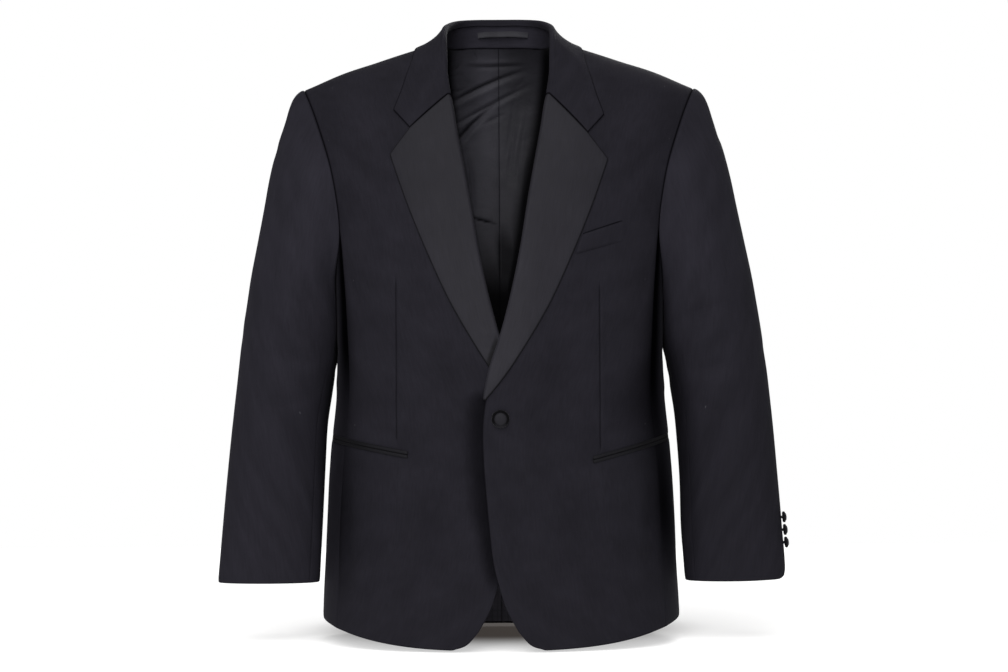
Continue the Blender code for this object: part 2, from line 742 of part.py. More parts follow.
def lapel_grid(side):
    """One lapel: rows climb the roll line, and each runs round the roll and out over the front."""
    climb = np.linspace(0, 1, LAPEL_ROWS + 1)
    climb = climb * (1 + LAPEL_CROWDING * (1 - climb))
    roll_z = BREAK_Z + (GORGE_Z - BREAK_Z) * climb
    roll = np.stack((line_by_height(FRONT_EDGE, roll_z), roll_z), axis=-1)
    edge, out, along = roll_frame(roll_z, side)
    outline = np.array(LAPEL_EDGE, float) * MM
    length = np.concatenate(((0,), np.cumsum(np.linalg.norm(np.diff(outline, axis=0), axis=1))))
    outer = curve_through(length / length[-1], outline, climb)
    outer[:, 1] -= feature_drop(side) * climb
    notch = np.array(NOTCH) * MM - (0, feature_drop(side))
    shares = np.array((0.04, 0.14, 0.3, 0.46, NOTCH_SHARE, 0.82, 1))
    bend = bent_row(roll[-1], notch, outer[-1], shares, NOTCH_SHARE)
    plane = roll[:, None] + (outer - roll)[:, None] * shares[None, :, None]
    plane += bend[None] * climb[:, None, None] ** 8
    panel = front_points(plane[..., 0], plane[..., 1], side)
    normals = form_normals(plane[..., 0], plane[..., 1], side)
    stand_off = SEAT_GAP + CLOTH
    bulge = LAPEL_BULGE * np.sin(math.pi * shares)[None, :, None] * climb[:, None, None]
    lying = panel + normals * (stand_off + bulge)
    turn_in = (TURN_IN[0] + (TURN_IN[1] - TURN_IN[0]) * climb)[:, None]
    base = (CLOTH + ROLL_EASE * climb)[:, None]
    turned = turned_edge(edge, along, out, base, stand_off, ARC_STEPS, turn_in)
    return np.concatenate((np.stack(turned, axis=1), lying), axis=1)


def build_lapels():
    for side in SIDES:
        grid = lapel_grid(side)
        normals = sheet_normals(grid)
        add_wall("lapel_" + side, inset(grid, WIDE_SEAM_GAP), normals, side, "satin")


def sheet_normals(grid):
    """Normals of a turned-over sheet, outward on the part that lies on the panel."""
    normals = unit(np.cross(np.gradient(grid, axis=0), np.gradient(grid, axis=1)))
    lying = normals[:, -1] * (grid[:, -1] - torso_axis(grid[:, -1]))
    return normals if lying.sum() > 0 else -normals


def form_depth(x, z, behind):
    """How far the form reaches from its centre line, in front or behind."""
    front = CENTRE_Y - front_y(x, z)
    back = back_y(x, z) - CENTRE_Y
    return np.where(behind, back, front)


def roof_height(x, y):
    """The height at which the form, going down from the ridge, first reaches this far forward or back."""
    behind = y > CENTRE_Y
    high = ridge_height(x)
    low = high - ROOF_SEARCH
    for _ in range(ROOF_HALVINGS):
        middle = (low + high) / 2
        short = form_depth(x, middle, behind) < np.abs(y - CENTRE_Y)
        high = np.where(short, middle, high)
        low = np.where(short, low, middle)
    return (low + high) / 2


def onto_form(points):
    """Points brought onto the form: by height near the shoulder ridge, by depth lower down."""
    x, y, z = points[..., 0], points[..., 1], points[..., 2]
    roof = z > ridge_height(x) - ROOF_REACH
    behind = y > CENTRE_Y
    wall = CENTRE_Y + np.where(behind, 1, -1) * form_depth(x, np.minimum(z, ridge_height(x)), behind)
    return np.stack((x, np.where(roof, y, wall), np.where(roof, roof_height(x, y), z)), axis=-1)


def normals_on_form(points):
    """Outward normals of the form, from small steps across it."""
    step = 1.5 * MM
    roof = (points[..., 2] > ridge_height(points[..., 0]) - ROOF_REACH)[..., None]
    sideways = np.array((step, 0, 0))
    other = np.where(roof, np.array((0, step, 0)), np.array((0, 0, -step)))
    ahead = onto_form(points + sideways) - onto_form(points - sideways)
    across = onto_form(points + other) - onto_form(points - other)
    normals = unit(np.cross(ahead, across))
    away = points - np.array((0, CENTRE_Y, WAIST_Z))
    return np.where(np.sum(normals * away, axis=-1, keepdims=True) < 0, -normals, normals)


def clear_of_form(points, clearance):
    """Points moved out where they come nearer to the form than the clearance."""
    on = onto_form(points)
    normals = normals_on_form(on)
    height = np.sum((points - on) * normals, axis=-1, keepdims=True)
    return points + normals * np.maximum(clearance - height, 0)


def both_sides(left, right):
    """One row of points from the wearer's right gorge, round the back of the neck, to the left gorge."""
    return np.concatenate((right[:0:-1] * np.array((-1, 1, 1)), left))


def collar_lines():
    """Neck seam, fold and outer edge of the collar, from the right gorge round the back to the left gorge."""
    table = np.array(COLLAR, float) * MM
    knots = np.linspace(0, 1, len(table))
    places = COLLAR_PLACES
    columns = {name: curve_through(knots, table[:, i], places) for i, name in enumerate(COLLAR_COLUMNS)}
    behind = knots < RIDGE_PLACE
    neck_y = np.where(behind, back_y(table[:, 0], table[:, 1]), front_y(table[:, 0], table[:, 1]))
    neck = np.stack((columns["neck_x"], curve_through(knots, neck_y, places), columns["neck_z"]), axis=-1)
    neck = onto_form(neck)
    fold = np.stack((columns["fold_x"], columns["fold_y"], columns["fold_z"]), axis=-1)
    edges = []
    for side in SIDES:
        lowered = columns["edge_z"] - feature_drop(side) * places ** 4
        edge = np.stack((columns["edge_x"], columns["edge_y"], lowered), axis=-1)
        edges.append(onto_form(edge))
    return both_sides(neck, neck), both_sides(fold, fold), both_sides(*edges)


def collar_frames(neck, fold, edge, places):
    """Directions at each place of the fold: across it, down the stand or over the front, and outwards."""
    turning = smooth_step((places - TURN_PLACE) / (1 - TURN_PLACE))[:, None]
    tangent = unit(np.gradient(fold, axis=0))
    ends = []
    for side in SIDES:
        _, out, along = roll_frame(np.array([GORGE_Z]), side)
        ends.append((out[0] * (SIDES[side], 1, 1), along[0] * (SIDES[side], 1, 1)))
    tangent[-1] = np.cross(ends[0][0], ends[0][1])
    tangent[0] = np.cross(ends[1][0], ends[1][1])
    down = unit(neck - fold)
    out = unit(np.cross(down, tangent))
    outwards = (fold - (0, CENTRE_Y, 0)) * (1, 1, 0)
    out = np.where(np.sum(out * outwards, axis=-1, keepdims=True) < 0, -out, out)
    for end, (gorge_out, _) in zip((-1, 0), ends):
        nearer = slice(len(places) // 2, None) if end else slice(0, len(places) // 2)
        out[nearer] = out[nearer] * (1 - turning[nearer]) + gorge_out * turning[nearer]
    out = unit(out - tangent * np.sum(out * tangent, axis=-1, keepdims=True))
    along = np.cross(tangent, out)
    return np.where(np.sum(along * (edge - fold), axis=-1, keepdims=True) < 0, -along, along), out


def build_collar():
    neck, fold, edge = collar_lines()
    places = np.concatenate((COLLAR_PLACES[:0:-1], COLLAR_PLACES))
    along, out = collar_frames(neck, fold, edge, places)
    build_stand(neck, fold, places, out)
    stand_off = SEAT_GAP + CLOTH + COLLAR_EASE
    turn_in = (COLLAR_TURN_IN[0] + (COLLAR_TURN_IN[1] - COLLAR_TURN_IN[0]) * places)[:, None]
    base = (CLOTH + ROLL_EASE * places ** 2)[:, None]
    turned = np.stack(turned_edge(fold, along, out, base, stand_off, ARC_STEPS, turn_in), axis=1)
    top = turned[:, -1]
    low = edge + normals_on_form(edge) * stand_off
    lying = top[:, None] + (low - top)[:, None] * COLLAR_SHARES[None, :, None]
    for end, side in ((-1, "left"), (0, "right")):
        notch = notch_point(side) * np.array((SIDES[side], 1, 1))
        bend = bent_row(top[end], notch, low[end], COLLAR_SHARES, COLLAR_NOTCH_SHARE)
        nearness = places * (np.arange(len(places)) >= len(places) // 2 if end else
                             np.arange(len(places)) <= len(places) // 2)
        lying += bend[None] * (nearness ** COLLAR_BEND)[:, None, None]
    lying = clear_of_form(lying, stand_off)
    grid = np.concatenate((turned, lying), axis=1)
    normals = sheet_normals(grid)
    normals[:, -2:] = normals_on_form(onto_form(grid[:, -2:]))
    add_wall("collar_leaf", inset(grid, WIDE_SEAM_GAP), normals, "left", "wool")


def notch_point(side):
    """The inner corner of the notch, where lapel and collar meet, lifted as far as both lie off the front."""
    x = np.array(NOTCH[0] * MM)
    z = NOTCH[1] * MM - feature_drop(side)
    return front_points(x, z, side) + form_normals(x, z, side) * (SEAT_GAP + CLOTH)


def stand_wall(neck, fold, places):
    """The outer face of the collar's stand, from just above the neck seam up to the fold."""
    kept = places <= STAND_END
    base = (neck + unit(fold - neck) * STAND_GAP)[kept]
    climb = np.array((0, 0.5, 1))[None, :, None]
    return base[:, None] * (1 - climb) + fold[kept][:, None] * climb, kept


def build_stand(neck, fold, places, out):
    grid, kept = stand_wall(neck, fold, places)
    normals = np.repeat(out[kept][:, None], grid.shape[1], axis=1)
    add_wall("collar_stand", grid, normals, "left", "wool")
    build_hanger_loop(grid, normals)


def build_hanger_loop(stand, normals):
    """A narrow strip along the inside of the stand, sewn at its ends and bowed off it between them."""
    middle = stand[:, 1]
    x = LOOP_CENTRE_X + np.linspace(-LOOP_HALF_LENGTH, LOOP_HALF_LENGTH, LOOP_STEPS + 1)
    place = np.interp(x, middle[:, 0], np.arange(len(middle)))
    stations = np.arange(len(middle))

    def at(values):
        return np.stack([np.interp(place, stations, values[:, i]) for i in range(3)], axis=-1)

    low, high, out = at(stand[:, 0]), at(stand[:, -1]), unit(at(normals[:, 1]))
    bow = LOOP_BOW * (1 - np.linspace(-1, 1, LOOP_STEPS + 1) ** 4)
    rows = []
    for z in (LOOP_BOTTOM_Z, LOOP_TOP_Z):
        climb = ((z - low[:, 2]) / (high[:, 2] - low[:, 2]))[:, None]
        rows.append(low * (1 - climb) + high * climb - out * (CLOTH + SEAT_GAP + bow)[:, None])
    grid = np.stack(rows, axis=1)
    add_wall("hanger_loop", grid, np.repeat(out[:, None], 2, axis=1), "left", "lining", LOOP_THICKNESS)


# Trim

def pocket_strip(side, low, high):
    """A strip of cloth over the hip pocket's opening, between two heights from the opening's line."""
    inner_x, inner_z = POCKET_INNER[0] * MM, POCKET_INNER[1] * MM - feature_drop(side)
    width = half_width(np.array(inner_z))
    share = np.linspace(inner_x / width, POCKET_OUTER_SHARE, JET_STEPS + 1)
    turn = -turn_of_share(share)
    climb = (share - share[0]) / (share[-1] - share[0])
    z = inner_z + (POCKET_OUTER_Z - inner_z) * climb
    grid = np.stack([ring_points(turn, z + rise) for rise in (low, high)])
    normals = ring_normals(grid)
    lift = SEAT_GAP + JET_THICKNESS + JET_END_LIFT * climb ** 3
    return grid + normals * lift[None, :, None], normals


def build_pockets():
    half_gap = SEAM_GAP / 2
    for side in SIDES:
        for name, low, high in (("upper", half_gap, JET_HEIGHT), ("lower", -JET_HEIGHT, -half_gap)):
            grid, normals = pocket_strip(side, low, high)
            add_wall(f"pocket_jet_{name}_{side}", grid, normals, side, "satin", JET_THICKNESS)


def build_welt():
    """The breast welt: a slanted strip from the edge of the lapel towards the armhole."""
    low, high = np.array(WELT_BOTTOM, float) * MM, np.array(WELT_TOP, float) * MM
    along = np.linspace(0, 1, WELT_STEPS + 1)[None, :, None]
    up = np.linspace(0, 1, 3)[:, None, None]
    bottom = low[0] * (1 - along) + low[1] * along
    top = high[0] * (1 - along) + high[1] * along
    plane = bottom * (1 - up) + top * up
    x, z = plane[..., 0], plane[..., 1]
    normals = form_normals(x, z, "left")
    grid = front_points(x, z, "left") + normals * (SEAT_GAP + WELT_THICKNESS)
    add_wall("breast_welt", grid, normals, "left", "wool", WELT_THICKNESS)


def add_button(name, seat, axis, radius, height, side):
    """A covered button: a low dome turned round its axis, its flat back just clear of the cloth."""
    axis = axis * np.array((SIDES[side], 1, 1))
    seat = seat * np.array((SIDES[side], 1, 1)) + axis * BUTTON_GAP
    across = unit(np.cross(axis, (0, 0, 1)))
    up = np.cross(across, axis)
    angle = np.linspace(0, 2 * math.pi, BUTTON_SIDES, endpoint=False)[:, None]
    round_ = across * np.cos(angle) + up * np.sin(angle)
    rings = [seat + round_ * radius * share + axis * height * rise for share, rise in BUTTON_PROFILE]
    points = np.concatenate(rings + [(seat + axis * height)[None]])
    faces = [list(range(BUTTON_SIDES))]
    for ring in range(len(rings) - 1):
        for i in range(BUTTON_SIDES):
            j = (i + 1) % BUTTON_SIDES
            start = ring * BUTTON_SIDES
            faces.append([start + i, start + j, start + BUTTON_SIDES + j, start + BUTTON_SIDES + i])
    last = (len(rings) - 1) * BUTTON_SIDES
    faces += [[last + i, last + (i + 1) % BUTTON_SIDES, len(points) - 1] for i in range(BUTTON_SIDES)]
    mesh = bpy.data.meshes.new(name)
    mesh.from_pydata(points.tolist(), [], faces)
    point_faces_out(mesh)
    add_piece(name, mesh, "button_cloth")


def build_buttons():
    x, z = np.array(FRONT_BUTTON_X), np.array(FRONT_BUTTON_Z)
    seat = front_points(x, z, "left")
    axis = form_normals(x, z, "left")
    add_button("front_button", seat, axis, FRONT_BUTTON_RADIUS, FRONT_BUTTON_HEIGHT, "left")
    step = 1 * MM
    for side in SIDES:
        turn = np.array(math.radians(CUFF_BUTTON_TURN[side]))
        for number in range(CUFF_BUTTONS):
            z = np.array(CUFF_BUTTON_FIRST_Z - number * CUFF_BUTTON_PITCH)
            seat = sleeve_points(turn, z)
            round_ = sleeve_points(turn + 0.01, z) - sleeve_points(turn - 0.01, z)
            down = sleeve_points(turn, z - step) - sleeve_points(turn, z + step)
            axis = unit(np.cross(round_, down))
            axis = axis if axis[0] > 0 else -axis
            add_button(f"cuff_button_{side}_{number + 1}", seat, axis, CUFF_BUTTON_RADIUS,
                       CUFF_BUTTON_HEIGHT, side)


def build_lining():
    """The back's lining, from above the hem to the neck seam, just inside each half of the back."""
    grid = back_grid()
    normals = back_normals(grid)
    rise = LINING_HEM_RISE / (grid[1, :, 2] - grid[0, :, 2])
    grid[0] += (grid[1] - grid[0]) * rise[:, None]
    grid = grid - normals * (CLOTH + SEAT_GAP)
    for side in SIDES:
        add_wall("lining_" + side, inset(grid, SEAM_GAP), normals, side, "lining", LINING)


def cover_materials():
    for name, (colour, roughness) in FINISHES.items():
        finish = bpy.data.materials.new(name)
        finish.use_nodes = True
        shader = finish.node_tree.nodes["Principled BSDF"]
        shader.inputs["Base Color"].default_value = colour
        shader.inputs["Roughness"].default_value = roughness
        shader.inputs["Metallic"].default_value = 0


def main():
    for thing in list(bpy.data.objects):
        bpy.data.objects.remove(thing)
    cover_materials()
    build_fronts()
    build_sides()
    build_backs()
    build_sleeves()
    build_lapels()
    build_collar()
    build_pockets()
    build_welt()
    build_buttons()
    build_lining()


main()
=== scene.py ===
"""A dinner jacket: every cloth piece is a thin shell worked out on a grid, over one rounded torso form.

Frame: metres, +Z up, the front towards -Y and the wearer's left towards +X. Tables are in millimetres, for
the wearer's left half, and the other half is their mirror image apart from its creases. The panels are
rectangles laid on the form between seam lines, each sleeve is a tube that leaves the armhole curve, and
what lies on a panel is made from the panel's own points, moved out.
"""
import math

import bpy
import numpy as np
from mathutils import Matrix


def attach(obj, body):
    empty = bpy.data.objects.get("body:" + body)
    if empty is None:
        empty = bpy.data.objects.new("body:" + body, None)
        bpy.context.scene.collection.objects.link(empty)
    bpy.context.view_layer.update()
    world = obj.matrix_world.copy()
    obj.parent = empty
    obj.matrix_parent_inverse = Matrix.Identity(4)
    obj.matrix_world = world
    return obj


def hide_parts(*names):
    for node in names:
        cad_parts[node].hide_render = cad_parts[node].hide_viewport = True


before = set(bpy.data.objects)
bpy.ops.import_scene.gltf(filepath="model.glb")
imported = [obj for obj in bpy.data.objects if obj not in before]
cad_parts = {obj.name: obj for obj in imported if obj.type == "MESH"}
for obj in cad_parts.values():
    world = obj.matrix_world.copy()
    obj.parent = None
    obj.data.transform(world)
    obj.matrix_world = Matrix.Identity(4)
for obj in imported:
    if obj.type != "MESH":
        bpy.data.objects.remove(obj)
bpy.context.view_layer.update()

bl_info = {
    "name": "Dinner jacket",
    "version": (1, 0, 0),
    "blender": (4, 5, 0),
    "location": "View3D > Sidebar > Jacket",
    "description": "Builds a worn dinner jacket from its cut, seam by seam",
    "category": "Add Mesh",
}

MM = 0.001
SIDES = {"left": 1, "right": -1}

# Torso form: a ring with rounded corners at each height
RING_POWER = 2.4
CENTRE_Y = 4 * MM
TORSO_COLUMNS = ("height", "half_width", "front_depth", "back_depth")
TORSO = (
    (30, 262, 45, 116), (0, 262, 45, 112), (-20, 262, 54, 112), (-45, 262, 73, 114), (-75, 262, 94, 118),
    (-110, 256, 113, 122), (-160, 240, 128, 127), (-220, 222, 138, 129), (-300, 213, 142, 125),
    (-370, 209, 143, 117), (-440, 207, 145, 113), (-520, 215, 147, 118), (-600, 221, 149, 126),
    (-680, 224, 150, 132), (-760, 227, 151, 136),
)

# Shoulder ridge, and how the form fills out below it in front and behind
NECK_X = 74 * MM
NECK_CROWN = 27 * MM
RIDGE_SLOPE = 0.29
RIDGE_FALL = 0.33
PAD = (76 * MM, 168 * MM, 1.4 * MM)
FRONT_ARCH = (80 * MM, 2.5)
BACK_ARCH = (150 * MM, 3)

# Hem and side seams
HEM_SIDE_Z = -727 * MM
HEM_FRONT_DROP = 28 * MM
HEM_BACK_DROP = 26 * MM
HEM_POWER = 3
SIDE_SEAM_HEM = 0.90
SEAM_SETTLE = 5

# Armhole: a closed curve through these points, from the shoulder round the front: x, y, z
ARMHOLE = (
    (247, 4, -60), (229, -52, -100), (209, -70, -165), (199, -69, -235), (203.5, -50, -284),
    (213.5, 4, -300), (205, 56, -285), (202.5, 67, -235), (215, 71, -165), (233, 58, -100),
)
FRONT_LOW = 3
BACK_LOW = 7
ARMHOLE_END = 10
ARMHOLE_CENTRE_Z = -181 * MM

# The front's inner edge, from its rounded corner up the front edge and the roll line to the neck: x, z
FRONT_EDGE = (
    (23.3, -732), (8.6, -705), (-1.1, -675), (-7.2, -651), (-13.2, -613), (-17.9, -564), (-20.6, -527),
    (-21, -477), (-16.5, -445), (-10, -414), (3, -375), (14.5, -333), (27, -277), (40, -200),
    (55, -119), (63, -75), (68.5, -58), (72.5, -36), (74.5, -17), (74, 0),
)
CORNER_HEM = ((23.3, -732), (36, -746.5), (55.4, -754.5))
EDGE_SPREAD = {"left": -2 * MM, "right": 4 * MM}

# The waist dart: x, top and bottom. How deep and wide it is sunk. The fold beside it: height, place, width
DART = {"left": (122.5, -302, -515), "right": (127, -294, -503)}
DART_SUNK = (1.1 * MM, 2.4 * MM)
DART_FOLD = (0.55 * MM, 3.2 * MM, 2.6 * MM)

# What turns inside a front: the facing along its edge and the hem, by their widths
FACING_WIDTH = 62 * MM
HEM_WIDTH = 32 * MM

# How far the front that laps over stands off the form near the centre: height, lift
LAP = ((-780, 2.9), (-650, 2.9), (-455, 7.8), (-350, 7.8), (-150, 0), (50, 0))
LAP_FULL_X = 24 * MM
LAP_END_X = 90 * MM

# Lapel
LAPEL_EDGE = (
    (-17.2, -450.5), (-9.5, -441.5), (11.6, -414), (33.5, -380), (59.5, -335), (87.5, -275), (114, -210),
    (134, -153),
)
NOTCH = (109, -120.5)
NOTCH_SHARE = 0.64
GORGE_Z = -75 * MM
BREAK_Z = -451 * MM
LEFT_DROP = 3.6 * MM
LAPEL_BULGE = 0.9 * MM
SEAT_GAP = 0.7 * MM
ROLL_EASE = 1.3 * MM
TURN_IN = (2.5 * MM, 6 * MM)

# Collar: neck seam, fold and outer edge, from the centre back round to the gorge
COLLAR_COLUMNS = ("neck_x", "neck_z", "fold_x", "fold_y", "fold_z", "edge_x", "edge_y", "edge_z")
COLLAR = (
    (0, 5, 0, 94, 36, 0, 104, -12), (28, 4.8, 30, 88, 35.2, 34, 97, -12),
    (50, 3.3, 53, 66, 31.5, 66, 80, -13), (66, 1.2, 65, 36, 24.5, 90, 50, -11.5),
    (74, 0, 69.5, 6, 16, 102, 6, -8.7), (74.5, -17, 70, -24, 1, 109.5, -38, -31),
    (72.5, -36, 69, -48, -21, 114.5, -60, -48), (68.5, -58, 67, -68, -47, 121.5, -82, -73),
    (63, -75, 63, -88.7, -75, 130, -100, -97.5),
)
RIDGE_PLACE = 0.5
TURN_PLACE = 0.8
STAND_END = 0.985
STAND_BOW = 0.8 * MM
STAND_LOWER = (-4.6 * MM, 0.7 * MM)
COLLAR_NOTCH_SHARE = 0.68
COLLAR_BEND = 7
COLLAR_SAG = 4 * MM
COLLAR_SAG_PLACE = 0.47
COLLAR_SAG_WIDTH = 0.13
COLLAR_SWELL = 0.9 * MM
COLLAR_TURN_IN = (6 * MM, 0.8 * MM)
WAIST_Z = -400 * MM
ROOF_REACH = 14 * MM
ROOF_SEARCH = 70 * MM
ROOF_HALVINGS = 30

# Sleeve: rings from the shoulder to the cuff
SLEEVE_COLUMNS = ("height", "outer", "inner", "half_depth", "centre_y", "pull", "hug")
SLEEVE = (
    (-55, 255, 188, 40, 4, 20, 0), (-68, 261, 189, 48, 4, 21, 0), (-84, 267, 190, 55, 4, 22, 0),
    (-100, 272, 191, 61, 4, 23, 0), (-130, 282.5, 192, 69, 4, 24, 0), (-175, 294, 194, 75, 4, 25, 0),
    (-206, 300, 197, 77, 4, 25, 0), (-251, 309, 204, 77, 5, 24, 3), (-300, 318, 215.5, 76, 6, 18, 8),
    (-330, 322.5, 216, 75, 7, 14, 11), (-373, 329, 215, 70, 8, 8, 11), (-400, 332.5, 215, 67, 8, 5, 7),
    (-430, 336, 216, 63, 6, 2, 2), (-480, 342.5, 221, 55, 3, 0, 0), (-556, 350, 226, 44, -6, 0, 0),
    (-617, 354.5, 229, 35, -15, 0, 0), (-681, 359, 231.5, 27, -27, 0, 0),
)
CUFF_Z = -681 * MM

# How each sleeve differs from that: height, and what is added to outer, inner and hug
EASE_COLUMNS = ("height", "outer", "inner", "hug")
SLEEVE_EASE = {
    "left": (
        (-55, 0, 0, 0), (-200, 0.4, 0, 1), (-226, 0.9, 0, 2.2), (-264, 1.8, 0, 4), (-302, 2.7, -1, 6),
        (-340, 3.7, -1.5, 2.5), (-373, 4.1, -4, 0), (-388, 4.3, -4.2, 0), (-402, 4.4, -2.4, 0),
        (-418, 4.4, -1.6, 0), (-463, 3.5, 0.8, 0), (-508, 2.5, 0.8, 0), (-553, 1.2, 0.6, 0),
        (-620, 0.6, -1.4, 0), (-658, 0.3, -0.6, 0), (-670, -0.6, -0.3, 0), (-677, -3.2, 0, 0),
        (-681, -8, 0, 0),
    ),
    "right": (
        (-55, 0, 0, 0), (-130, -1.2, 0, 0), (-200, -2.2, 0, 0), (-330, -1.4, -2, 0), (-373, -1, -4.2, 0),
        (-388, -1.4, -4.8, 0), (-402, -1.8, -6, 0), (-418, -2, -5, 0), (-448, -2.3, -3.4, 0),
        (-478, -2.6, -2.2, 0), (-530, -2.4, -3, 0), (-620, -2.7, -3.6, 0), (-681, -2.6, -3.2, 0),
    ),
}
HEAD_REACH = (8 * MM, 50 * MM)
# Where a sleeve's painted shade beside the body begins, and over how much it comes to its full share, in
# degrees
SLEEVE_SHADE = {"left": (110, 45), "right": (140, 30)}
# How far past its seams a sleeve's grid goes while its normals are taken, along the armhole
SEAM_MARGIN = 0.02
CUFF_TURN_IN = 28 * MM
ROPE_RISE = 3.1 * MM
ROPE_WIDTH = 5 * MM
FOREARM_PLACE = 3 + 2 / 3
HINDARM_PLACE = 7 + 9 / 7

# How finely the pieces are divided, by a step and their usual sizes, and the lines that crowd along an edge
STEP = 3.8 * MM
FRONT_WIDTH = 215 * MM
BACK_WIDTH = 235 * MM
LINING_WIDTH = 200 * MM
SIDE_HEIGHT = 440 * MM
SLEEVE_LENGTH = 600 * MM
ROLL_LENGTH = 400 * MM
LAPEL_WIDTH = 115 * MM
COLLAR_WIDTH = 75 * MM
COLLAR_HALF = 240 * MM
COLLAR_STEP = 3.2 * MM
STAND_ROWS = 15
SIDE_STATIONS = 241
BELOW_HEAD_ROW = 40
POCKET_LENGTH = 100 * MM
WELT_LENGTH = 60 * MM
WELT_HEIGHT = 27 * MM
PIPING_STEP = 1.6 * MM
NEAR_EDGE = np.array((0, 0.25, 0.7, 1.3, 2.2, 3.5)) * MM
ARC_STEPS = 12
DART_SHARE = 0.62

# Hip pockets
POCKET_INNER = (113, -521)
POCKET_OUTER_SHARE = 0.985
POCKET_OUTER_Z = -500 * MM
JET_HEIGHT = 4.3 * MM
JET_SLIT = 0.25 * MM
JET_THICKNESS = 0.9 * MM
JET_ROUND = 1 * MM
JET_LIFT = 0.25 * MM
JET_ROWS = 11
DIP_WIDTH = 4.2 * MM
DIP_DEPTH = 1 * MM

# Breast welt
WELT_TOP = ((102.3, -248), (155, -230))
WELT_BOTTOM = ((91.2, -275.4), (155, -257.6))
WELT_THICKNESS = 1 * MM
# How far the welt stands off at its bottom, what its edges and its top add, and what is left at its outer end
WELT_LIFT = 0.35 * MM
WELT_EDGE_LIFT = 1.5 * MM
WELT_TOP_LIFT = 0.5 * MM
WELT_END_LIFT = 0.6 * MM

# Hanger loop
LOOP_CENTRE_X = 6.2 * MM
LOOP_HALF_LENGTH = 35 * MM
LOOP_BOTTOM_Z = 13.2 * MM
LOOP_TOP_Z = 20.8 * MM
LOOP_THICKNESS = 1 * MM
LOOP_BOW = 3 * MM
LOOP_STATIONS = 49
LOOP_ROWS = 9

# Buttons
FRONT_BUTTON = (0.5 * MM, -473.5 * MM)
CUFF_BUTTON_FIRST_Z = -603.5 * MM
CUFF_BUTTON_PITCH = 15.8 * MM
CUFF_BUTTON_TURN = {"left": 7, "right": -38}
CUFF_SHANK = {"left": 1.8 * MM, "right": 0.6 * MM}
CUFF_BUTTONS = 3
BUTTON_GAP = 0.25 * MM
FRONT_BUTTON_SIZE = (11 * MM, 6 * MM)
CUFF_BUTTON_SIZE = (7 * MM, 5 * MM)
BUTTON_SIDES = 48

# A button's profile: shares of its radius and of its height, and the stem of one with a shank
BUTTON_PROFILE = (
    (0, 0.02), (0.55, 0), (0.88, 0), (0.95, 0.08), (0.99, 0.2), (1, 0.33), (0.985, 0.47),
    (0.94, 0.58), (0.88, 0.645), (0.82, 0.665), (0.775, 0.655), (0.745, 0.63), (0.725, 0.66), (0.69, 0.76),
    (0.62, 0.86), (0.5, 0.935), (0.34, 0.98), (0.17, 1), (0, 1),
)
STEM_RADIUS = (0.24, 0.26)
# How far the cover's tucks stand out, as a share of its radius
TUCK = 0.012

# Creases: x0, z0, x1, z1, bow, width towards its left hand, width towards its right hand, height, all in mm.
# A height above 0 is a ridge and below 0 a trough. On a sleeve x is the turn in degrees, 0 outwards.
FRONT_CREASES = {
    "left": (
        (124, -528, 129, -640, 2, 13, 9, 1.3), (139, -524, 147, -610, -2, 8, 11, -1),
        (190, -516, 189, -690, -3, 9, 11, -4.4), (170, -535, 167, -690, 2, 11, 9, 1.6),
        (60, -470, 172, -452, 4, 9, 14, 0.8), (48, -482, 150, -497, -3, 12, 8, -0.7),
        (196, -268, 168, -330, 6, 8, 12, -1.6), (186, -255, 150, -318, 8, 10, 14, 0.9),
        (215, -120, 192, -205, 5, 8, 12, -1.4), (90, -600, 84, -715, 3, 16, 14, 0.7),
    ),
    "right": (
        (127, -530, 122, -625, -3, 9, 14, 1.4), (112, -528, 103, -600, 2, 12, 8, -0.9),
        (192, -508, 190, -700, 2, 11, 9, -4.6), (172, -532, 174, -668, -3, 9, 12, 1.8),
        (52, -468, 165, -446, 5, 14, 9, 0.9), (58, -485, 140, -503, -4, 8, 12, -0.7),
        (197, -262, 160, -345, 8, 12, 8, -1.8), (188, -250, 158, -300, 5, 14, 10, 1),
        (218, -112, 190, -215, 7, 12, 8, -1.5), (76, -590, 82, -722, -4, 14, 17, 0.8),
    ),
}
BACK_CREASES = {
    "left": (
        (206, -110, 176, -262, 10, 10, 16, -2.4), (190, -150, 150, -300, 14, 16, 12, 2.2),
        (60, -395, 178, -418, 6, 10, 16, -1.6), (40, -432, 165, -440, -5, 14, 10, 1.4),
        (70, -352, 180, -330, 7, 9, 14, -1.1), (176, -455, 150, -640, -7, 16, 12, -2),
        (120, -470, 108, -700, 6, 20, 15, 1.6), (60, -520, 66, -715, 3, 14, 18, -1.1),
        (36, -60, 110, -96, 9, 9, 14, 1),
    ),
    "right": (
        (208, -118, 170, -250, 14, 14, 9, -2.2), (192, -160, 156, -318, 10, 12, 16, 2),
        (48, -402, 172, -410, 9, 15, 9, -1.8), (66, -440, 182, -455, -6, 11, 14, 1.2),
        (54, -366, 160, -346, 5, 13, 9, -0.9), (170, -470, 158, -655, 8, 12, 17, -2.2),
        (112, -460, 120, -690, -6, 15, 21, 1.8), (52, -540, 58, -700, -4, 17, 13, -0.9),
        (30, -66, 98, -88, -7, 13, 9, 1.1),
    ),
}
SIDE_CREASES = {
    "left": (
        (-14, -320, 10, -470, 6, 8, 12, -1.4), (12, -350, -6, -520, -5, 11, 8, 1.1),
        (2, -540, -6, -700, 4, 10, 12, -1.3), (-20, -400, 22, -392, 3, 8, 12, -1),
        (-22, -428, 20, -440, -3, 12, 8, 0.9),
    ),
    "right": (
        (-10, -312, 14, -455, -6, 12, 8, -1.5), (16, -370, 2, -540, 6, 8, 11, 1.2),
        (-4, -550, 4, -705, -5, 12, 10, -1.2), (-24, -388, 18, -404, 4, 12, 8, -1.1),
        (-18, -436, 24, -428, 3, 8, 12, 0.8),
    ),
}
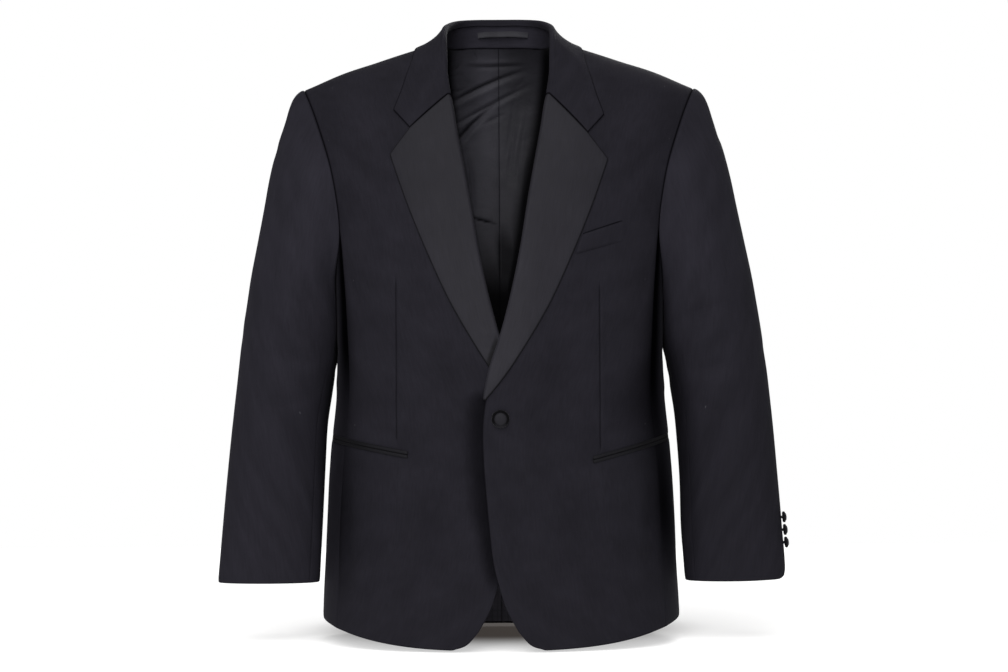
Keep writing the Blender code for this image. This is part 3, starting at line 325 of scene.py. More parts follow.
SLEEVE_CREASES = {
    "left": (
        (-30, -112, 40, -148, 8, 11, 7, -0.9), (30, -96, 92, -170, -9, 9, 15, -1.8),
        (44, -120, 104, -214, -10, 14, 10, 1.6), (50, -330, 132, -372, 9, 8, 13, -2),
        (38, -352, 128, -404, 8, 13, 9, 1.7), (60, -396, 140, -418, -7, 8, 12, -2.2),
        (40, -428, 126, -440, 5, 12, 9, 1.5), (70, -470, 134, -452, -5, 9, 12, -1.5),
        (-20, -380, 42, -430, 9, 10, 16, -0.8), (-70, -300, -128, -352, 9, 9, 14, -1.6),
        (-56, -344, -122, -392, 8, 13, 9, 1.4), (-60, -420, -132, -430, -6, 10, 12, -1.6),
        (-92, -120, -60, -240, 10, 10, 15, -1.6), (12, -500, 22, -640, 4, 15, 11, -0.7),
        (-28, -250, -18, -350, 6, 16, 12, 0.8), (150, -330, 210, -350, 4, 8, 10, -1),
        (144, -410, 214, -428, -4, 8, 10, -1),
    ),
    "right": (
        (-26, -120, 36, -138, -7, 8, 12, -0.8), (34, -104, 88, -190, -10, 14, 9, -1.7),
        (50, -130, 98, -232, -8, 10, 15, 1.5), (46, -318, 130, -350, 8, 12, 8, -1.8),
        (52, -338, 134, -388, 9, 9, 14, 1.8), (48, -384, 138, -404, -8, 12, 9, -2.1),
        (56, -416, 120, -436, 6, 9, 13, 1.4), (62, -458, 138, -446, -4, 12, 9, -1.7),
        (-16, -362, 36, -408, 8, 15, 10, -0.9), (-74, -290, -126, -336, 8, 13, 9, -1.5),
        (-60, -332, -118, -380, 9, 9, 14, 1.5), (-52, -406, -130, -424, -7, 13, 9, -1.5),
        (-88, -130, -64, -255, 9, 14, 10, -1.5), (8, -490, 18, -630, -5, 11, 16, -0.8),
        (-24, -236, -12, -336, 5, 12, 17, 0.9), (152, -322, 206, -344, -4, 10, 8, -1),
        (146, -402, 212, -424, 4, 10, 8, -1.1),
    ),
}
# Lining: how much lower its top and higher its hem are than the back's, and how far it lies inside the back
LINING_TOP_DROP = 1.2 * MM
LINING_HEM_RISE = 3 * MM
LINING_GAP = 1.5 * MM
LINING_STEP = 2.4 * MM
LINING_HEIGHT = 490 * MM
# The lining's valleys end with how dark each is painted along its bottom, as painted shade, as a share
LINING_VALLEYS = (
    (42, -15.5, -52, -17.5, 1, 4, 1.6, -1.5, 0.45), (44, -20, -84, -77, -6, 7, 1.8, -3.4, 0.85),
    (52, -36, -84, -108, -2, 5, 1.7, -2.4, 0.55), (4, -62, -74, -146, -9, 8, 1.8, -3.8, 0.95),
    (-37, 4, -29, -13, 2, 3, 2, -1.1, 0.35), (31, -50, 11, -178, -3, 4, 2.4, -1.3, 0.25),
    (42, -58, 22, -190, -4, 5, 2.6, -1.4, 0.3), (22, -44, 5, -150, 2, 3, 2.2, -0.9, 0.15),
    (-46, -118, -38, -236, 4, 5, 5, -2.2, 0.4), (-50, -26, -84, -34, 2, 3, 1.6, -1.2, 0.4),
    (-40, -46, -84, -60, -2, 4, 1.6, -1.4, 0.45), (-48, -8, -72, -30, 3, 3, 2, -1, 0.3),
    (-50, -88, -84, -122, -3, 4, 1.6, -1.5, 0.5), (12, -78, -28, -98, -2, 4, 2, -1, 0.35),
    (36, -30, 14, -50, 2, 3, 2, -1, 0.3), (38, -84, 30, -150, 2, 3, 3, -1, 0.3),
    (-50, -213.6, 5, -227.6, 0, 1.5, 1.3, -0.9, 0.95),
)
LINING_FOLDS = (
    (44, -11, -60, -12, 1, 3, 3, 1), (40, -28, -84, -87, -6, 5, 4, 1.7),
    (44, -48, -74, -110, -3, 5, 4, 1.3), (0, -75, -68, -152, -8, 6, 5, 1.7),
    (44, -62, 26, -170, -5, 6, 10, 1.3), (36, -95, 18, -240, 4, 5, 9, 1.3),
    (-36, -40, -52, -8, 3, 4, 7, 1.2), (28, -165, 22, -330, 3, 6, 10, 1.2),
    (52, -120, 46, -300, 3, 8, 5, 1.5), (-60, -200, -44, -360, 3, 8, 5, 1.3),
    (90, -80, 70, -300, 8, 14, 8, 2), (-96, -110, -74, -320, 8, 9, 15, 2),
    (130, -150, 110, -420, 10, 16, 10, 2.2), (-126, -160, -116, -440, 9, 11, 17, 2.2),
    (60, -430, 54, -640, 5, 14, 9, 1.6), (-58, -450, -66, -650, 5, 9, 14, 1.6),
)
LINING_EDGE = ((-37, -215.6, -6, -223.6), 1.2)

# Where the lining goes in under the fronts' roll lines, and how wide the painted shade beside them is: z, x,
# width
LINING_ROLL_SHADE = {
    "left": (
        (-384, -7, 6), (-345, 5, 8), (-267, 23, 11), (-182, 38, 13), (-99, 54, 12), (-58, 60, 10),
        (2, 66, 8), (29, 65, 6),
    ),
    "right": (
        (-372, 7, 4), (-330, 13, 4), (-273, 28, 4), (-188, 42, 4), (-120, 56, 6), (-51, 66, 8), (-24, 70, 9),
        (29, 67, 8),
    ),
}
# Painted shade deep in the V: the height where it begins and how far below it is full. Then two dark lines
# near the hem.
LINING_DEEP_SHADE = (-240, 92)
LINING_HEM_LINES = (-736, -743)
LAPEL_CREASES = {
    "left": ((8, -404, 30, -398, 1, 3, 5, 0.4),),
    "right": (
        (4, -372, 26, -368, 1, 2.4, 4, 0.7), (8, -384, 24, -378, -1, 2.2, 3.4, 0.5),
        (2, -396, 22, -392, 1, 2.4, 4, 0.6),
    ),
}

# Painted shade where body and sleeve meet: z, share beside the front's side seam, how far the front is shaded
# from there, share over the underarm panel, share along the sleeve's inner edge. Shares are in thousandths.
SIDE_SHADE_COLUMNS = ("height", "front", "reach", "panel", "sleeve")
SIDE_SHADE = {
    "left": (
        (-740, 0, 18, 0, 300), (-680, 350, 20, 350, 300), (-600, 800, 24, 850, 400),
        (-530, 750, 26, 800, 450), (-500, 800, 38, 750, 450), (-467, 880, 44, 850, 500),
        (-430, 880, 36, 950, 550), (-378, 800, 16, 1000, 600), (-340, 700, 12, 1000, 500),
        (-300, 700, 8, 1000, 500), (-262, 700, 4, 1000, 500), (-226, 700, 3, 900, 400), (-170, 0, 3, 400, 0),
    ),
    "right": (
        (-740, 0, 20, 0, 200), (-690, 400, 26, 200, 200), (-620, 750, 34, 450, 250),
        (-560, 720, 34, 500, 300), (-480, 600, 22, 550, 400), (-430, 600, 16, 800, 450),
        (-378, 700, 12, 1000, 550), (-340, 650, 8, 1000, 500), (-300, 550, 6, 1000, 450),
        (-262, 500, 3, 950, 400), (-226, 400, 3, 800, 300), (-170, 0, 3, 400, 0),
    ),
}

# Painted light: how far each kind of wool piece is painted lighter: z, share
PAINTED_LIGHT = {
    "body": ((-760, 0), (-600, 0), (-480, 0.12), (-400, 0.2), (-230, 0.42), (-100, 0.26), (60, 0.27)),
    "sleeve_left": ((-760, 0), (-560, 0), (-373, 0.5), (-190, 1), (-60, 0.9)),
    "sleeve_right": ((-760, 0.35), (-560, 0.4), (-373, 0.65), (-190, 1), (-60, 0.9)),
    "stand": ((-100, 1), (60, 1)),
}
# Painted light on the satin: lighter low down by height, and lighter on the wearer's left lapel by its share.
SATIN_PAINTED_LIGHT = ((-450, 0.4), (-300, 0.36), (-180, 0.12), (-60, 0))
SATIN_PAINTED_LIGHT_SIDE = {"left": 0.12, "right": 0}
# Slow waves that make the cloth uneven: how fast each turns sideways and upwards, and its start
RIPPLES = ((0.041, 0.013, 0.4), (0.017, -0.029, 1.9), (-0.023, 0.011, 3.1), (0.009, 0.019, 5))

# The lamps' places and sizes, the point they face, the broad light's spread and tilt, and the dark oval on
# the floor, a painted shadow. What the floor glows and its colour, inside the oval and beyond it.
FRONT_LAMP = ((-0.5, -4, 0.5), 2)
BACK_LAMP = ((1.2, 3.9, 2.3), 2.4)
LAMP_AIM = (0, 0, -0.35)
SHADOW_OVAL_PLACE = (0, -0.479, 0)
SHADOW_OVAL_SCALE = (3.45, 4.35, 0)
SHADOW_OVAL_CORE = 0.35
OVERHEAD_SPREAD = math.radians(50)
OVERHEAD_TILT = (math.radians(30), 0, math.radians(-14))
FLOOR_GLOW = ((0.075, 0.064, 0.057), 1)
FLOOR_COLOUR = ((0.08, 0.074, 0.07), (0.56, 0.557, 0.553))


class JacketCloth(bpy.types.PropertyGroup):
    """Sizes of the cloth and its seams."""
    wall: bpy.props.FloatProperty(
        name="Cloth", description="Thickness of the wool and of the satin", default=0.002, unit="LENGTH")
    lining: bpy.props.FloatProperty(
        name="Lining", description="Thickness of the lining", default=0.0012, unit="LENGTH")
    seam_depth: bpy.props.FloatProperty(
        name="Seam depth", description="How far the cloth sinks along a seam", default=0.001, unit="LENGTH")
    seam_reach: bpy.props.FloatProperty(
        name="Seam reach", description="How far from the seam it sinks", default=0.003, unit="LENGTH")
    edge_curl: bpy.props.FloatProperty(
        name="Edge curl", description="How far a free edge curls inwards", default=0.0007, unit="LENGTH")
    creases: bpy.props.FloatProperty(
        name="Creases", description="How strong the creases are, as a share", default=1.0, subtype="FACTOR")
    ripple: bpy.props.FloatProperty(
        name="Ripple", description="Height of the cloth's slow unevenness", default=0.00045, unit="LENGTH")


class JacketColours(bpy.types.PropertyGroup):
    """Colours of the cloths."""
    wool: bpy.props.FloatVectorProperty(
        name="Wool", description="Colour of the wool", default=(0.0101, 0.0095, 0.0129), subtype="COLOR")
    satin: bpy.props.FloatVectorProperty(
        name="Satin", description="Colour of the lapels", default=(0.0126, 0.0120, 0.0152), subtype="COLOR")
    lining: bpy.props.FloatVectorProperty(
        name="Lining", description="Colour of the lining", default=(0.0178, 0.0172, 0.0216), subtype="COLOR")
    buttons: bpy.props.FloatVectorProperty(
        name="Buttons", description="Colour of the covered buttons", default=(0.0090, 0.0085, 0.0112),
        subtype="COLOR")


class JacketStage(bpy.types.PropertyGroup):
    """The floor, the camera and the lights."""
    floor_z: bpy.props.FloatProperty(
        name="Floor", description="Height of the floor", default=-0.757, unit="LENGTH")
    floor_size: bpy.props.FloatProperty(
        name="Floor size", description="Side of the floor", default=2.8, unit="LENGTH")
    distance: bpy.props.FloatProperty(
        name="Camera distance", description="From the camera to the jacket", default=3.2, unit="LENGTH")
    camera_x: bpy.props.FloatProperty(
        name="Camera x", description="Sideways place of the camera", default=0.0052, unit="LENGTH")
    camera_z: bpy.props.FloatProperty(
        name="Camera height", description="Height of the camera", default=-0.373, unit="LENGTH")
    roll: bpy.props.FloatProperty(
        name="Camera roll", description="Turn of the camera about its view", default=math.radians(0.3),
        subtype="ANGLE")
    lens: bpy.props.FloatProperty(
        name="Lens", description="Focal length in millimetres, on a 36 mm sensor", default=90.0)
    sky: bpy.props.FloatProperty(
        name="Surround light", description="Light that the white surround gives", default=0.16)
    glow: bpy.props.FloatProperty(
        name="Floor glow", description="How much the floor glows, away from the jacket", default=0.55)
    overhead: bpy.props.FloatProperty(
        name="Overhead light", description="Strength of the broad light from above", default=2.4)
    front: bpy.props.FloatProperty(
        name="Front light", description="Power of the lamp behind the camera", default=110.0, unit="POWER")
    behind: bpy.props.FloatProperty(
        name="Back light", description="Power of the lamp behind the jacket", default=105.0, unit="POWER")


# Tables and curves

def metres(table):
    """A table in millimetres, as an array in metres."""
    return np.array(table, float) * MM


def cloth_sizes():
    """The cloth's settings in the panel."""
    return bpy.context.scene.jacket_cloth


def curve_through(knots, values, at):
    """A smooth curve through a table: a cubic between each pair of knots, with slopes from its neighbours."""
    knots = np.asarray(knots, float)
    values = np.asarray(values, float)
    at = np.clip(np.asarray(at, float), knots[0], knots[-1])
    slopes = np.gradient(values, knots, axis=0)
    low = np.clip(np.searchsorted(knots, at) - 1, 0, len(knots) - 2)
    span = knots[low + 1] - knots[low]
    share = (at - knots[low]) / span
    if values.ndim > 1:
        span, share = span[..., None], share[..., None]
    start, end = values[low], values[low + 1]
    start_slope, end_slope = slopes[low] * span, slopes[low + 1] * span
    rest = 1 - share
    return (rest * rest * (1 + 2 * share) * start + share * share * (3 - 2 * share) * end
            + rest * rest * share * start_slope - share * share * rest * end_slope)


def read_column(table, columns, name, height):
    """One named column of a table of sections, at any height, in metres."""
    rows = sorted(table)
    column = columns.index(name)
    return curve_through([row[0] * MM for row in rows], [row[column] * MM for row in rows], height)


def torso(name, height):
    """One of the torso's half width and depths, at any height."""
    return read_column(TORSO, TORSO_COLUMNS, name, height)


def share_by_height(table, height):
    """A share from a table of heights and shares."""
    rows = np.array(table, float)
    return curve_through(rows[:, 0] * MM, rows[:, 1], height)


def smooth(share):
    """0 below 0, 1 above 1, and between them three squares less two cubes of the share."""
    share = np.clip(share, 0, 1)
    return share * share * (3 - 2 * share)


def line_by_height(points, height):
    """x along a line whose points climb in z."""
    points = metres(points)
    return curve_through(points[:, 1], points[:, 0], height)


def rise(value, start, width):
    """From 0 at the start to 1 a width above it."""
    return smooth((value - start) / width)


def fall(value, start, width):
    """From 0 at the start to 1 a width below it."""
    return smooth((start - value) / width)


def between(first, second, share):
    """From the first at a share of 0 to the second at a share of 1."""
    return first * (1 - share) + second * share


def climbed(heights):
    """How far each height has come from the first to the last, as a share."""
    return (heights - heights[0]) / (heights[-1] - heights[0])


def bell(distance, width):
    """1 at no distance, and less on both sides with the square of the distance."""
    return np.exp(-(distance / width) ** 2)


def unit(vectors):
    """Vectors divided by their lengths."""
    return vectors / np.linalg.norm(vectors, axis=-1, keepdims=True)


def dot(first, second):
    """Dot products of two sets of vectors, kept as columns."""
    return np.sum(first * second, axis=-1, keepdims=True)


def stacked(*parts):
    """Coordinates side by side as points."""
    return np.stack(parts, axis=-1)


def run_length(points):
    """Length along a line of points up to each of them."""
    return np.concatenate(((0,), np.cumsum(np.linalg.norm(np.diff(points, axis=0), axis=1))))


def spaced(length, step, ends=(True, True)):
    """Shares along a line: a step apart, and closer together near each end that is an edge."""
    near = NEAR_EDGE / length
    low = near[-1] if ends[0] else 0
    high = 1 - near[-1] if ends[1] else 1
    middle = np.linspace(low, high, max(int(round((high - low) * length / step)), 1) + 1)
    first = near[:-1] if ends[0] else near[:0]
    last = 1 - near[-2::-1] if ends[1] else near[:0]
    return np.concatenate((first, middle, last))


# Torso form

def ridge_height(x):
    """The shoulder line: a crown inside the neck, and outside it a slope that steepens outwards."""
    reach = np.abs(x)
    past = np.maximum(reach - NECK_X, 0)
    inside = NECK_CROWN * np.maximum(1 - (reach / NECK_X) ** 2, 0)
    pad = np.sin(math.pi * np.clip((past - PAD[0]) / (PAD[1] - PAD[0]), 0, 1)) ** 2
    return inside - RIDGE_SLOPE * past - RIDGE_FALL * past * past + PAD[2] * pad


def half_width(z):
    """Half the torso's width at a height."""
    return torso("half_width", z)


def ring_share(x, z):
    """The depth of the ring at x, as a share of its depth at the centre."""
    across = np.clip(np.abs(x) / half_width(z), 0, 1)
    return (1 - across ** RING_POWER) ** (1 / RING_POWER)


def arch_share(x, z, arch):
    """How far the form has filled out below the shoulder ridge: a rounded step from 0 to 1."""
    reach, power = arch
    below = np.clip((ridge_height(x) - z) / reach, 0, 1)
    return (1 - (1 - below) ** power) ** (1 / power)


def front_y(x, z):
    """The form's front: the ring's depth there, less what is taken off below the shoulder ridge."""
    depth = torso("front_depth", z)
    return CENTRE_Y - depth * ring_share(x, z) * arch_share(x, z, FRONT_ARCH)


def back_y(x, z):
    """The form's back, by the same formula with its own depth."""
    depth = torso("back_depth", z)
    return CENTRE_Y + depth * ring_share(x, z) * arch_share(x, z, BACK_ARCH)


def lap_lift(x, z):
    """How far the front that laps over stands off the form: most at the centre, none past the chest."""
    rows = metres(LAP)
    low = np.clip(np.searchsorted(rows[:, 0], z) - 1, 0, len(rows) - 2)
    climb = smooth((z - rows[low, 0]) / (rows[low + 1, 0] - rows[low, 0]))
    lift = rows[low, 1] + (rows[low + 1, 1] - rows[low, 1]) * climb
    return lift * (1 - rise(x, LAP_FULL_X, LAP_END_X - LAP_FULL_X))


def front_points(x, z, side):
    """Points of one front's outer face, for the wearer's left half before it is mirrored."""
    y = front_y(x, z)
    if side == "left":
        y = y - lap_lift(x, z)
    return stacked(x, y, z)


def hem_height(share, drop):
    """The hem is lowest at the centre and rises towards the side with a power of the share across."""
    return HEM_SIDE_Z - drop * (1 - share ** HEM_POWER)


def armhole(step):
    """The armhole curve, closed, at any place along its table of points."""
    points = metres(ARMHOLE)
    wrap = 5
    knots = np.arange(-wrap, len(points) + wrap + 1)
    return curve_through(knots, points[knots % len(points)], step)


def armhole_places(first, last, ends, step=STEP):
    """Places along the armhole about a step apart along its length."""
    fine = np.linspace(first, last, 600)
    length = run_length(armhole(fine))
    return np.interp(spaced(length[-1], step, ends) * length[-1], length, fine)


def side_seam_share(climb, top):
    """The seam beside the underarm panel, as a share of the half width, from the hem to the armhole."""
    return SIDE_SEAM_HEM + (top[0] / half_width(top[2]) - SIDE_SEAM_HEM) * climb


def seam_climb(top, drop):
    """Shares up the side seam, from the hem to its top on the armhole."""
    return spaced(top[2] - hem_height(SIDE_SEAM_HEM, drop), STEP, (True, False))


def side_seam(climb, top, drop):
    """The seam's x and z, row by row from the hem to its top on the armhole."""
    hem = hem_height(SIDE_SEAM_HEM, drop)
    z = hem + (top[2] - hem) * climb
    return stacked(side_seam_share(climb, top) * half_width(z), z)


def ring_points(turn, z):
    """Points of the form round the side: turn is 0 at the side, negative in front and positive behind."""
    across = np.cos(turn) ** (2 / RING_POWER)
    depth = np.abs(np.sin(turn)) ** (2 / RING_POWER)
    front = -torso("front_depth", z)
    back = torso("back_depth", z)
    y = CENTRE_Y + np.where(turn < 0, front, back) * depth
    return stacked(across * half_width(z), y, z + 0 * turn)


def turn_of_share(share):
    """The turn round the ring at which x is this share of the half width."""
    return np.arccos(share ** (RING_POWER / 2))


def ring_normals(points):
    """Level normals of the ring form, which the panels on both sides of a side seam share."""
    x, y, z = points[..., 0], points[..., 1] - CENTRE_Y, points[..., 2]
    front = torso("front_depth", z)
    back = torso("back_depth", z)
    depth = np.where(y < 0, front, back)
    width = half_width(z)
    across = np.sign(x) * (np.abs(x) / width) ** (RING_POWER - 1) / width
    through = np.sign(y) * (np.abs(y) / depth) ** (RING_POWER - 1) / depth
    return unit(stacked(across, through, np.zeros_like(x)))


def ridge_normals(x):
    """Normals across the shoulder seam, which both its panels share."""
    slope = np.where(np.abs(x) > NECK_X, -RIDGE_SLOPE - 2 * RIDGE_FALL * (np.abs(x) - NECK_X), 0)
    return unit(stacked(-slope, np.zeros_like(x), np.ones_like(x)))


def crossed_steps(grid):
    """Unit normals of a grid: its steps one way, crossed with its steps the other way."""
    return unit(np.cross(np.gradient(grid, axis=0), np.gradient(grid, axis=1)))


def grid_normals(grid, inside):
    """Unit normals of a grid, turned away from the inside points."""
    normals = crossed_steps(grid)
    if np.mean(np.sum(normals * (grid - inside), axis=-1)) < 0:
        normals = -normals
    return normals


def torso_axis(grid):
    """Points on the torso's upright axis, at the height of each point of the grid."""
    axis = np.zeros_like(grid)
    axis[..., 1] = CENTRE_Y
    axis[..., 2] = grid[..., 2]
    return axis


def form_normals(x, z, side):
    """Outward normals of one front's outer face, from small steps sideways and upwards."""
    step = 1 * MM
    ahead = front_points(x + step, z, side) - front_points(x - step, z, side)
    above = front_points(x, z + step, side) - front_points(x, z - step, side)
    return unit(np.cross(ahead, above))


def form_depth(x, z, behind):
    """How far the form reaches from its centre line, in front or behind."""
    return np.where(behind, back_y(x, z) - CENTRE_Y, CENTRE_Y - front_y(x, z))


def roof_height(x, y):
    """The height at which the form, going down from the ridge, first reaches this far forward or back."""
    behind = y > CENTRE_Y
    high = ridge_height(x)
    low = high - ROOF_SEARCH
    for _ in range(ROOF_HALVINGS):
        middle = (low + high) / 2
        short = form_depth(x, middle, behind) < np.abs(y - CENTRE_Y)
        high = np.where(short, middle, high)
        low = np.where(short, low, middle)
    return (low + high) / 2


def onto_form(points):
    """Points brought onto the form: by height near the shoulder ridge, by depth lower down."""
    x, y, z = points[..., 0], points[..., 1], points[..., 2]
    roof = z > ridge_height(x) - ROOF_REACH
    behind = y > CENTRE_Y
    wall = CENTRE_Y + np.where(behind, 1, -1) * form_depth(x, np.minimum(z, ridge_height(x)), behind)
    return stacked(x, np.where(roof, y, wall), np.where(roof, roof_height(x, y), z))


def normals_on_form(points):
    """Outward normals of the form, from small steps across it."""
    step = 1.5 * MM
    roof = (points[..., 2] > ridge_height(points[..., 0]) - ROOF_REACH)[..., None]
    sideways = np.array((step, 0, 0))
    other = np.where(roof, np.array((0, step, 0)), np.array((0, 0, -step)))
    ahead = onto_form(points + sideways) - onto_form(points - sideways)
    across = onto_form(points + other) - onto_form(points - other)
    normals = unit(np.cross(ahead, across))
    away = points - np.array((0, CENTRE_Y, WAIST_Z))
    return np.where(dot(normals, away) < 0, -normals, normals)


def clear_of_form(points, clearance):
    """Points moved out where they come nearer to the form than the clearance."""
    on = onto_form(points)
    normals = normals_on_form(on)
    height = dot(points - on, normals)
    return points + normals * np.maximum(clearance - height, 0)


# Relief and shells

SHARP_ANGLE = math.radians(50)


def creases(x, z, table):
    """Height of the soft creases at points of a flat chart, in metres.

    Each crease is a line with a slight bow. Along it the height swells with the sine of the share of its
    length, and across it falls off like a bell, whose width differs on its two sides and narrows to its ends.
    """
    total = np.zeros(np.broadcast(x, z).shape)
    for x0, z0, x1, z1, bow, wide_left, wide_right, height in table:
        run_x, run_z = (x1 - x0), (z1 - z0)
        length = math.hypot(run_x, run_z)
        ahead, over = x - x0, z - z0
        along = (ahead * run_x + over * run_z) / length ** 2
        inside = np.clip(along, 0, 1)
        swell = np.sin(math.pi * inside) ** 1.3
        off = (over * run_x - ahead * run_z) / length - bow * 4 * inside * (1 - inside)
        past = (along - inside) * length
        width = np.where(off > 0, wide_left, wide_right) * (0.75 + 0.25 * swell)
        total += height * swell * np.exp(-(off / width) ** 2 - (past / 10) ** 2)
    return total * MM * cloth_sizes().creases


def ripples(x, z, seed):
    """A slow unevenness: the mean of waves that cross at odd angles, from -1 to 1."""
    total = 0
    for along, up, phase in RIPPLES:
        total = total + np.sin(x * along * 1.7 + z * up * 1.7 + phase + seed)
    return total / len(RIPPLES)


def edge_reach(grid):
    """Distances along the grid's lines from its first row, last row, first column and last column."""
    up = np.cumsum(np.linalg.norm(np.diff(grid, axis=0, prepend=grid[:1]), axis=-1), axis=0)
    over = np.cumsum(np.linalg.norm(np.diff(grid, axis=1, prepend=grid[:, :1]), axis=-1), axis=1)
    return up, up[-1:] - up, over, over[:, -1:] - over


def sunk(distance, depth, reach):
    """How far cloth sinks towards a line: the depth, less with the square of the distance."""
    return depth * np.clip(1 - distance / reach, 0, 1) ** 2


def armhole_sinks(places):
    """How both panels sink at the armhole seam: halfway between the body's and the sleeve's normals.

    The body's is the ring's, turning into the ridge's near the shoulder, and the sleeve's points away from
    the armhole's middle. Where they face opposite ways, under the arm, the seam sinks less.
    """
    arm = armhole(places)
    roof = rise(arm[:, 2:], -200 * MM, 140 * MM)
    body = unit(between(ring_normals(arm), ridge_normals(arm[:, 0]), roof))
    around = arm - np.array((0, CENTRE_Y, ARMHOLE_CENTRE_Z))
    around[:, 0] = 0.3 * around[:, 2]
    return (body + unit(around)) / 2


def towards(normals, points, place, reach=8 * MM):
    """Normals along a seam that turn into the armhole's own where the seam runs into it."""
    end = np.array((float(place),))
    near = smooth(1 - np.linalg.norm(points - armhole(end), axis=-1) / reach)[:, None]
    return between(normals, armhole_sinks(end), near)


def make_shell(name, node, grid, normals, edges, relief=0, thickness=None, finish="wool", inside=None,
               side="left", darkening_and_shade=0, press=(1, 1, 1, 1), painted_light=None):
    """A closed shell: the grid moved by its relief, a second grid a thickness inside it, and their rims.

    edges says for the first row, last row, first column and last column whether each is a free edge, which
    curls in and is rounded over, or plain, or else gives the ways in which both panels sink at a seam.
    inside gives the faces of the inner side that show the second finish, and the next argument where else the
    cloth is darkened: dark seam lines, and painted shade. press says how strongly each seam and free edge is
    darkened, and a free edge's dark line is partly a painted shadow. The last argument says how far the
    colour is painted lighter, which is painted light.
    """
    cloth = cloth_sizes()
    thickness = cloth.wall if thickness is None else thickness
    height = np.zeros(grid.shape[:2]) + relief
    bevel = np.zeros(grid.shape[:2])
    worn_and_shaded = np.zeros(grid.shape[:2]) + darkening_and_shade
    # Painted light: how far the colour is painted lighter.
    painted_light = np.zeros(grid.shape[:2]) + (painted_light_share(name, side, grid[..., 2]) if painted_light is None else painted_light)
    radius = thickness / 2
    reaches = edge_reach(grid)
    seams = []
    for number, (kind, distance) in enumerate(zip(edges, reaches)):
        if isinstance(kind, np.ndarray):
            height = height * smooth(distance / (14 * MM))
            near = np.clip(1 - distance / cloth.seam_reach, 0, 1)[..., None]
            way, share = np.asarray(kind), np.broadcast_to(press[number], len(kind))
            way, share = (way[None, :], share[None, :]) if number < 2 else (way[:, None], share[:, None])
            seams.append((near, between(normals, way, near) * share[..., None]))
            # Seams are darkened as dark joints.
            worn_and_shaded = np.maximum(worn_and_shaded, np.exp(-distance / (1.6 * MM)) * share)
        elif kind == "free":
            height -= sunk(distance, cloth.edge_curl, 7 * MM)
            inner = np.clip(radius - distance, 0, radius)
            bevel = np.maximum(bevel, radius - np.sqrt(radius ** 2 - inner ** 2))
            # Free edges are darkened: pressed, and partly a painted shadow line under the edge.
            worn_and_shaded = np.maximum(worn_and_shaded, smooth(1.25 - distance / (2.2 * MM)) * press[number])
    bevel = np.minimum(bevel, radius * 0.96)[..., None]
    sink = 0
    if seams:
        weight = sum(near ** 4 for near, way in seams) + 1e-9
        way = sum(near ** 4 * way for near, way in seams) / weight
        sink = way * cloth.seam_depth * np.maximum.reduce([near for near, _ in seams]) ** 2
    height = height[..., None]
    outer = grid + normals * (height - bevel) - sink
    inner = grid + normals * (height - thickness + bevel) - sink
    flip = np.array((SIDES[side], 1, 1))
    weave = stacked(reaches[2], reaches[0])
    piece = add_shell(name, outer * flip, inner * flip, finish, inside, weave, {"worn_and_shaded": worn_and_shaded, "painted_light": painted_light})
    settle(piece, node)


def painted_light_share(name, side, z):
    """How far a wool piece is painted lighter, as painted light, at each height, by the table for its kind.
    """
    kind = "sleeve_" + side if name.startswith("sleeve") else "stand" if "stand" in name else "body"
    return share_by_height(PAINTED_LIGHT[kind], z)


def add_shell(name, outer, inner, finish, inside, weave, worn_shade_and_light):
    """Joins two grids of one size round their rims, and keeps the weave's chart, the cloth's darkening with
    its painted shade, and its painted light.
    """
    rows, columns = outer.shape[:2]
    count = rows * columns
    index = np.arange(count).reshape(rows, columns)
    quads = stacked(index[:-1, :-1], index[:-1, 1:], index[1:, 1:], index[1:, :-1]).reshape(-1, 4)
    rim = np.concatenate((index[0], index[1:, -1], index[-1, -2::-1], index[-2:0:-1, 0]))
    after = np.roll(rim, -1)
    sides = stacked(after, rim, rim + count, after + count)
    faces = np.concatenate((quads, quads[:, [0, 3, 2, 1]] + count, sides))
    points = np.concatenate((outer.reshape(-1, 3), inner.reshape(-1, 3)))
    finishes = np.zeros(len(faces), np.int32)
    names = [finish]
    if inside is not None:
        names.append(inside[0])
        shown = np.zeros((rows - 1, columns - 1), bool) | inside[1]
        finishes[len(quads):2 * len(quads)] = shown.reshape(-1)
    charts = np.concatenate((weave.reshape(-1, 2), weave.reshape(-1, 2)))
    worn_shade_and_light = {kind: np.tile(values.reshape(-1), 2) for kind, values in worn_shade_and_light.items()}
    return add_mesh(name, points, faces, names, finishes, charts, worn_shade_and_light)


def add_mesh(name, points, faces, names, finishes, charts, worn_shade_and_light):
    """A mesh of quads whose faces are all turned outwards, by the sign of the space it closes."""
    a, b, c, d = (points[faces[:, i]] for i in range(4))
    space = np.sum(a * np.cross(b, c)) + np.sum(a * np.cross(c, d))
    if space < 0:
        faces = faces[:, ::-1]
    mesh = bpy.data.meshes.new(name)
    mesh.vertices.add(len(points))
    mesh.vertices.foreach_set("co", points.astype(np.float32).ravel())
    mesh.loops.add(faces.size)
    mesh.loops.foreach_set("vertex_index", faces.astype(np.int32).ravel())
    mesh.polygons.add(len(faces))
    mesh.polygons.foreach_set("loop_start", np.arange(0, faces.size, 4, dtype=np.int32))
    mesh.update(calc_edges=True)
    mesh.polygons.foreach_set("material_index", finishes)
    chart_and_dress(mesh, charts, worn_shade_and_light, names)
    mesh.set_sharp_from_angle(angle=SHARP_ANGLE)
    if mesh.validate():
        raise RuntimeError(f"{name} has faces that its mesh can't hold")
    return place_object(name, mesh)


